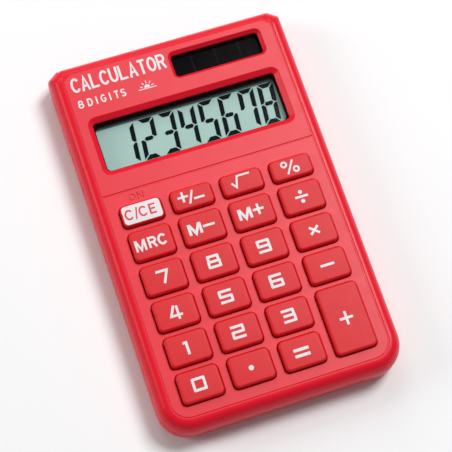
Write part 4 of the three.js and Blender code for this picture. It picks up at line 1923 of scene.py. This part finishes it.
@dataclass
class Digits:
    """Eight slanted seven-segment digits, lit in the liquid crystal."""

    opening: Opening
    text: str = "12345678"
    pitch: float = 5.15
    width: float = 4.05
    height: float = 10.45
    bar: float = 1.08
    split: float = 0.21
    slant: float = 0.105
    right_margin: float = 0.50
    drop: float = 0.15
    thickness: float = 0.04
    rise: float = 0.06

    def build(self) -> bpy.types.Object:
        """Makes the digits, in the front glass just over the rear one.

        Returns:
            The digits as one piece.
        """
        front = Extent.of("display_front_glass")
        opening = self.opening.foot
        figure = Lettering()
        low = opening.y - self.height / 2 - self.drop
        for index, digit in enumerate(reversed(self.text)):
            left = opening.right - self.right_margin - self.width - index * self.pitch
            for segment in SEGMENTS_LIT[digit]:
                shape = self.segment(segment)
                figure.outline([(left + x + self.slant * (y - self.height), low + y) for x, y in shape])
        top = front.bottom + self.rise
        shell = figure.shell(top - self.thickness, top)
        return put(shell.make("display_digits", [Paint.SEGMENT.material]))

    def segment(self, name: str) -> list[Flat]:
        """One segment in an upright digit's own box.

        Args:
            name: the segment's usual letter, from a to g.

        Returns:
            Its outline.
        """
        w, h, b, s = self.width, self.height, self.bar, self.split
        middle = h / 2
        half = b * 0.46
        upright = {
            "f": [
                (0, middle + s), (b * 0.5, middle + s * 0.6), (b, middle + half + s),
                (b, h - b - s), (0, h - s * 1.2),
            ],
            "e": [
                (0, s * 1.2), (b, b + s), (b, middle - half - s),
                (b * 0.5, middle - s * 0.6), (0, middle - s),
            ],
        }
        level = {
            "a": [(w - s * 1.2, h), (w - b - s, h - b), (b + s, h - b), (s * 1.2, h)],
            "d": [(s * 1.2, 0), (w - s * 1.2, 0), (w - b - s, b), (b + s, b)],
            "g": [
                (b * 0.62 + s, middle), (b + s, middle - half), (w - b - s, middle - half),
                (w - b * 0.62 - s, middle), (w - b - s, middle + half), (b + s, middle + half),
            ],
        }
        as_drawn = level | upright
        if name in as_drawn:
            return as_drawn[name]
        mirrored = upright["f" if name == "b" else "e"]
        return [(w - x, y) for x, y in reversed(mirrored)]


@dataclass
class Windows:
    """The clear windows, the liquid crystal panel under one and the solar cell under the other."""

    opening: Opening
    # The border's widths are painted shade: widest at the top and on the right, where the opening's walls
    # cast shadow on the panel.
    shade_left: float = 0.35
    shade_right: float = 0.4
    shade_low: float = 0.6
    shade_high: float = 0.92
    shade_thickness: float = 0.03
    lift: float = 0.01
    cell_edge: float = 0.05

    def build(self) -> None:
        """Makes the plates and the digits."""
        for node, paint, radius, edge in (
            ("display_window", Paint.CLEAR, 0.9, 0.06),
            ("display_connector", Paint.CONNECTOR, 0.1, 0.05),
            ("solar_window", Paint.CLEAR, 0.9, 0.06),
        ):
            Plate(node, paint, radius, edge).build()
        self.panel()
        self.shade_border()
        Digits(self.opening).build()
        self.solar_cell()

    def shade_border(self) -> None:
        """Makes the black border on the panel: it hides the panel's edges and is painted shade, widest at the
        top and on the right, where the opening's walls shade the panel.
        """
        window = Extent.of("display_window")
        opening = self.opening.foot
        border = Rect(
            opening.left + self.shade_left,
            opening.right - self.shade_right,
            opening.low + self.shade_low,
            opening.high - self.shade_high,
        )
        shell = Shell()
        low = Extent.of("display_polarizer").top + self.lift
        top = low + self.shade_thickness
        rings = [
            shell.ring(border.outline(1.0), top),
            shell.ring(border.outline(1.0), low),
            shell.ring(window.plan.outline(0.3), low),
            shell.ring(window.plan.outline(0.3), top),
        ]
        shell.stack([*rings, rings[0]])
        put(shell.make("display_painted_shade", [Paint.MASK.material]))

    def panel(self) -> None:
        """Makes the panel: a rear glass backed with foil, and a front glass with its film."""
        layers = (
            ("backed_glass", Paint.REFLECTOR, ("display_reflector", "display_rear_glass")),
            ("front_glass_and_film", Paint.GLASS, ("display_front_glass", "display_polarizer")),
        )
        for name, paint, nodes in layers:
            lower, upper = (Extent.of(node) for node in nodes)
            shell = Shell()
            rings = [
                shell.ring(lower.plan.outline(0.1, 3), lower.bottom),
                shell.ring(lower.plan.outline(0.1, 3), lower.top),
                shell.ring(upper.plan.outline(0.1, 3), lower.top),
                shell.ring(upper.plan.outline(0.1, 3), upper.top),
            ]
            shell.solid(rings)
            piece = shell.make(name, [paint.material])
            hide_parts(*nodes)
            put(piece)

    def solar_cell(self) -> None:
        """Makes the solar cell, whose finish is laid out on its own plan."""
        room = Extent.of("solar_cell")
        finish = SolarGlass("solar_glass", (0.003, 0.002, 0.003), (0.02, 0.015, 0.016), 4, room.plan)
        shell = Shell()
        rings = [
            shell.ring(room.plan.grow(-inset).outline(0.15), z)
            for inset, z in (
                (self.cell_edge, room.bottom),
                (0, room.bottom + self.cell_edge),
                (0, room.top - self.cell_edge),
                (self.cell_edge, room.top),
            )
        ]
        shell.solid(rings)
        piece = shell.make("solar_cell_plate", [finish.make()])
        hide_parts("solar_cell")
        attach(piece, CASE_BODY)


# ---------------------------------------------------------------- inner pieces and screws


class InnerPieces:
    """The pieces inside the case that keep their shape from the frame."""

    PAINTS = {
        "circuit_board": Paint.BOARD,
        "calculator_chip": Paint.EPOXY,
        "reserve_capacitor": Paint.COMPONENT,
        "timing_resistor": Paint.EPOXY,
        "clamp_diode": Paint.EPOXY,
        "solar_lead_positive": Paint.LEAD_RED,
        "solar_lead_negative": Paint.LEAD_BLACK,
        "button_cell": Paint.CELL,
        "battery_contact_negative": Paint.CONTACT,
        "battery_contact_positive": Paint.CONTACT,
    }

    def dress(self) -> None:
        """Gives each its finish."""
        for node, paint in self.PAINTS.items():
            dress(node, paint.material)
            log.info("%s is dressed in %s", node, paint.slot)


@dataclass
class Screws:
    """A set of alike screws, driven upwards."""

    kind: str
    count: int
    head_radius: float
    head_height: float
    shank_radius: float
    thread_pitch: float = 0.5

    def build(self) -> bpy.types.Object:
        """Makes the whole set one piece.

        Returns:
            The screws as one piece.
        """
        rooms = [Extent.of(f"{self.kind}_screw_{number}") for number in range(1, self.count + 1)]
        mesh = bpy.data.meshes.new(f"{self.kind}_screws")
        mesh.from_pydata([(room.plan.x * MM, room.plan.y * MM, room.bottom * MM) for room in rooms], [], [])
        piece = show(bpy.data.objects.new(f"{self.kind}_screws", mesh))
        step = piece.modifiers.new("screws", "NODES")
        tree = self.tree()
        step.node_group = tree
        sizes = {
            "Head Radius": self.head_radius,
            "Head Height": self.head_height,
            "Shank Radius": self.shank_radius,
            "Length": rooms[0].top - rooms[0].bottom,
            "Thread Pitch": self.thread_pitch,
        }
        for item in tree.interface.items_tree:
            if item.name in sizes:
                step[item.identifier] = sizes[item.name] * MM
        plain_mesh(piece)
        smooth(piece.data)
        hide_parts(*(f"{self.kind}_screw_{number}" for number in range(1, self.count + 1)))
        return put(piece)

    def tree(self) -> bpy.types.NodeTree:
        """The nodes that set a screw on every point: head, cross recess, shank and thread.

        Returns:
            The tree, whose inputs are the screws' sizes.
        """
        tree = bpy.data.node_groups.new(f"{self.kind}_screw_nodes", "GeometryNodeTree")
        tree.interface.new_socket("Geometry", in_out="INPUT", socket_type="NodeSocketGeometry")
        for name in ("Head Radius", "Head Height", "Shank Radius", "Length", "Thread Pitch"):
            tree.interface.new_socket(name, in_out="INPUT", socket_type="NodeSocketFloat")
        tree.interface.new_socket("Geometry", in_out="OUTPUT", socket_type="NodeSocketGeometry")
        make = NodeMaker(tree)
        given = make("NodeGroupInput").outputs
        reach = make.less(given["Length"], given["Head Height"])
        parts = [
            self.head(make, given["Head Radius"], given["Head Height"]),
            self.shank(make, given["Shank Radius"], given["Head Height"], reach),
            self.thread(make, given, reach),
        ]
        whole = make("GeometryNodeJoinGeometry", {}, {0: parts})
        turning = make("FunctionNodeRandomValue", {"data_type": "FLOAT_VECTOR"}, {
            0: (0.0, 0.0, 0.0), 1: (0.0, 0.0, math.pi), "Seed": 4,
        })
        copies = make("GeometryNodeInstanceOnPoints", {}, {
            "Points": given["Geometry"], "Instance": whole.outputs[0], "Rotation": turning.outputs[0],
        })
        real = make("GeometryNodeRealizeInstances", {}, {"Geometry": copies.outputs[0]})
        dressed = make("GeometryNodeSetMaterial", {}, {
            "Geometry": real.outputs[0], "Material": Paint.SCREW.material,
        })
        make("NodeGroupOutput", {}, {"Geometry": dressed.outputs[0]})
        return tree

    def head(self, make: "NodeMaker", radius: object, height: object) -> bpy.types.NodeSocket:
        """A flat round head with a cross recess in its underside.

        Args:
            make: what adds the nodes.
            radius: the head's radius.
            height: the head's height.

        Returns:
            The head's mesh.
        """
        head = make("GeometryNodeMeshCone", {}, {
            "Vertices": 32, "Radius Top": radius, "Radius Bottom": make.times(radius, 0.84), "Depth": height,
        })
        arm = make("ShaderNodeCombineXYZ", {}, {
            "X": make.times(radius, 1.3), "Y": make.times(radius, 0.26), "Z": height,
        })
        arms = make("GeometryNodeMeshCube", {}, {"Size": arm.outputs[0]})
        drop = make("ShaderNodeCombineXYZ", {}, {"Z": make.times(height, -0.55)})
        turned = []
        for turn in (0.0, math.pi / 2):
            placed = make("GeometryNodeTransform", {}, {
                "Geometry": arms.outputs["Mesh"],
                "Translation": drop.outputs[0],
                "Rotation": (0.0, 0.0, turn),
            })
            turned.append(placed.outputs[0])
        cross = make("GeometryNodeMeshBoolean", {"operation": "UNION", "solver": "EXACT"}, {"Mesh 2": turned})
        cut = make("GeometryNodeMeshBoolean", {"operation": "DIFFERENCE", "solver": "EXACT"}, {
            "Mesh 1": head.outputs["Mesh"], "Mesh 2": [cross.outputs["Mesh"]],
        })
        return cut.outputs["Mesh"]

    def shank(self, make: "NodeMaker", radius: object, height: object, reach: object) -> bpy.types.NodeSocket:
        """A plain rod that rises from the head, a little thinner than the thread.

        Args:
            make: what adds the nodes.
            radius: the thread's outer radius.
            height: the head's height.
            reach: the rod's length.

        Returns:
            The rod's mesh.
        """
        rod = make("GeometryNodeMeshCylinder", {}, {
            "Vertices": 20, "Radius": make.times(radius, 0.8), "Depth": reach,
        })
        rise = make("ShaderNodeCombineXYZ", {}, {"Z": make.plus(height, make.times(reach, 0.5))})
        placed = make("GeometryNodeTransform", {}, {
            "Geometry": rod.outputs["Mesh"], "Translation": rise.outputs[0],
        })
        return placed.outputs[0]

    def thread(self, make: "NodeMaker", given: object, reach: object) -> bpy.types.NodeSocket:
        """A ridge that winds up the rod.

        Args:
            make: what adds the nodes.
            given: the tree's inputs.
            reach: the rod's length.

        Returns:
            The ridge's mesh.
        """
        radius, height = given["Shank Radius"], given["Head Height"]
        turns = make("ShaderNodeMath", {"operation": "DIVIDE"}, {0: reach, 1: given["Thread Pitch"]})
        run = make.times(radius, 0.86)
        spiral = make("GeometryNodeCurveSpiral", {}, {
            "Resolution": 14, "Rotations": turns.outputs[0], "Height": make.times(reach, 0.96),
            "Start Radius": run, "End Radius": run,
        })
        section = make("GeometryNodeCurvePrimitiveCircle", {}, {
            "Resolution": 3, "Radius": make.times(radius, 0.13),
        })
        ridge = make("GeometryNodeCurveToMesh", {}, {
            "Curve": spiral.outputs[0], "Profile Curve": section.outputs[0], "Fill Caps": True,
        })
        start = make("ShaderNodeCombineXYZ", {}, {"Z": make.plus(height, make.times(reach, 0.02))})
        placed = make("GeometryNodeTransform", {}, {
            "Geometry": ridge.outputs[0], "Translation": start.outputs[0],
        })
        return placed.outputs[0]


class NodeMaker:
    """Adds nodes to a geometry tree."""

    def __init__(self, tree: bpy.types.NodeTree) -> None:
        """Works on one tree."""
        self.tree = tree

    def __call__(self, kind: str, settings: dict | None = None, inputs: dict | None = None) -> bpy.types.Node:
        """Adds a node, with its settings first and then its sockets' values, links or lists of links.

        Args:
            kind: the node's type.
            settings: what is set on the node itself.
            inputs: for each socket, a value, a link or a list of links.

        Returns:
            The node.
        """
        made = self.tree.nodes.new(kind)
        for name, value in (settings or {}).items():
            setattr(made, name, value)
        for name, value in (inputs or {}).items():
            socket = made.inputs[name]
            links = value if isinstance(value, list) else [value]
            for link in links:
                if isinstance(link, bpy.types.NodeSocket):
                    self.tree.links.new(link, socket)
                else:
                    socket.default_value = link
        return made

    def sum(self, operation: str, first: object, second: object) -> bpy.types.NodeSocket:
        """One step of arithmetic."""
        return self("ShaderNodeMath", {"operation": operation}, {0: first, 1: second}).outputs[0]

    def times(self, first: object, second: object) -> bpy.types.NodeSocket:
        """A product."""
        return self.sum("MULTIPLY", first, second)

    def plus(self, first: object, second: object) -> bpy.types.NodeSocket:
        """A sum."""
        return self.sum("ADD", first, second)

    def less(self, first: object, second: object) -> bpy.types.NodeSocket:
        """A difference."""
        return self.sum("SUBTRACT", first, second)


# ---------------------------------------------------------------- studio


@dataclass(frozen=True)
class SoftLight:
    """A square soft light that faces the calculator."""

    name: str
    way: tuple[float, float, float]
    distance: float
    size: float
    power: float

    def build(self) -> bpy.types.Object:
        """Sets the light up.

        Returns:
            The light.
        """
        lamp = bpy.data.lights.new(self.name, "AREA")
        lamp.size = self.size * MM
        lamp.energy = self.power
        placed = show(bpy.data.objects.new(self.name, lamp))
        toward = Vector(self.way).normalized()
        placed.location = toward * self.distance * MM
        placed.rotation_mode = "QUATERNION"
        placed.rotation_quaternion = toward.to_track_quat("Z", "Y")
        return placed


@dataclass
class Studio:
    """The pale table, the soft lights and the camera."""

    heading: float = 30.83
    elevation: float = 71.99
    roll: float = 12.7
    distance: float = 389.6
    aim: tuple[float, float] = (-0.73, -3.16)
    lens: float = 130.9
    sensor: float = 36.0
    table_reach: float = 3000.0
    table_drop: float = 0.02
    table_color: Color = (0.97, 0.97, 0.97)
    sky_color: Color = (0.95, 0.97, 1.0)
    sky_strength: float = 0.18
    soft_lights: tuple[SoftLight, ...] = (
        SoftLight("right_light", way=(0.44, 0.26, 0.86), distance=1500, size=530, power=15.2),
        SoftLight("back_light", way=(0.0, 0.80, 0.62), distance=1500, size=900, power=5.2),
        SoftLight("left_card", way=(-0.82, 0.33, 0.46), distance=900, size=360, power=2.2),
    )

    def build(self) -> None:
        """Sets everything up."""
        self.camera()
        self.floor()
        self.lights()
        bpy.context.scene.view_settings.view_transform = "Standard"

    def camera(self) -> None:
        """Looks down on the face from beyond the lower left corner."""
        heading = math.radians(self.heading)
        elevation = math.radians(self.elevation)
        roll = math.radians(self.roll)
        flat = math.cos(elevation)
        back = Vector((-math.sin(heading) * flat, -math.cos(heading) * flat, math.sin(elevation)))
        level = Vector((math.cos(heading), -math.sin(heading), 0))
        rise = back.cross(level)
        right = level * math.cos(roll) + rise * math.sin(roll)
        up = back.cross(right)
        face = Extent.of("front_shell").top
        target = Vector((*self.aim, face))
        lens = bpy.data.cameras.new("camera")
        lens.lens = self.lens
        lens.sensor_width = self.sensor
        lens.clip_start = 0.01
        lens.clip_end = 20
        camera = show(bpy.data.objects.new("camera", lens))
        turn = Matrix((right, up, back)).transposed().to_4x4()
        camera.matrix_world = Matrix.Translation((target + back * self.distance) * MM) @ turn
        bpy.context.scene.camera = camera

    def floor(self) -> None:
        """A large pale sheet under the calculator."""
        shell = Shell()
        sheet = Rect(0, 0, 0, 0).grow(self.table_reach)
        shell.face(shell.ring(sheet.outline(10, 2), -self.table_drop))
        finish = TableTop("table_top", self.table_color)
        floor = shell.make("table", [finish.make()])

    def lights(self) -> None:
        """A broad light from the upper right, a fill from the left and a pale sky."""
        for light in self.soft_lights:
            light.build()
        world = bpy.data.worlds.new("sky")
        world.use_nodes = True
        sky = world.node_tree.nodes["Background"]
        sky.inputs["Color"].default_value = (*self.sky_color, 1.0)
        sky.inputs["Strength"].default_value = self.sky_strength
        bpy.context.scene.world = world


def main() -> None:
    """Builds the calculator round its frame, and the studio."""
    logging.basicConfig(level=logging.INFO, format="%(message)s")
    Studio().build()
    form = CaseForm()
    keypad = Keypad()
    display = Opening("display_window", slope=1.2)
    solar = Opening("solar_window", slope=0.7)
    FrontShell(form, keypad.keys, display, solar).build()
    FacePrint(form).build()
    RearShell(form).build()
    keypad.build()
    Windows(display).build()
    InnerPieces().dress()
    Screws("case", 6, head_radius=1.5, head_height=0.8, shank_radius=0.8).build()
    Screws("board", 4, head_radius=1.2, head_height=0.7, shank_radius=0.6).build()


if __name__ == "__main__":
    main()
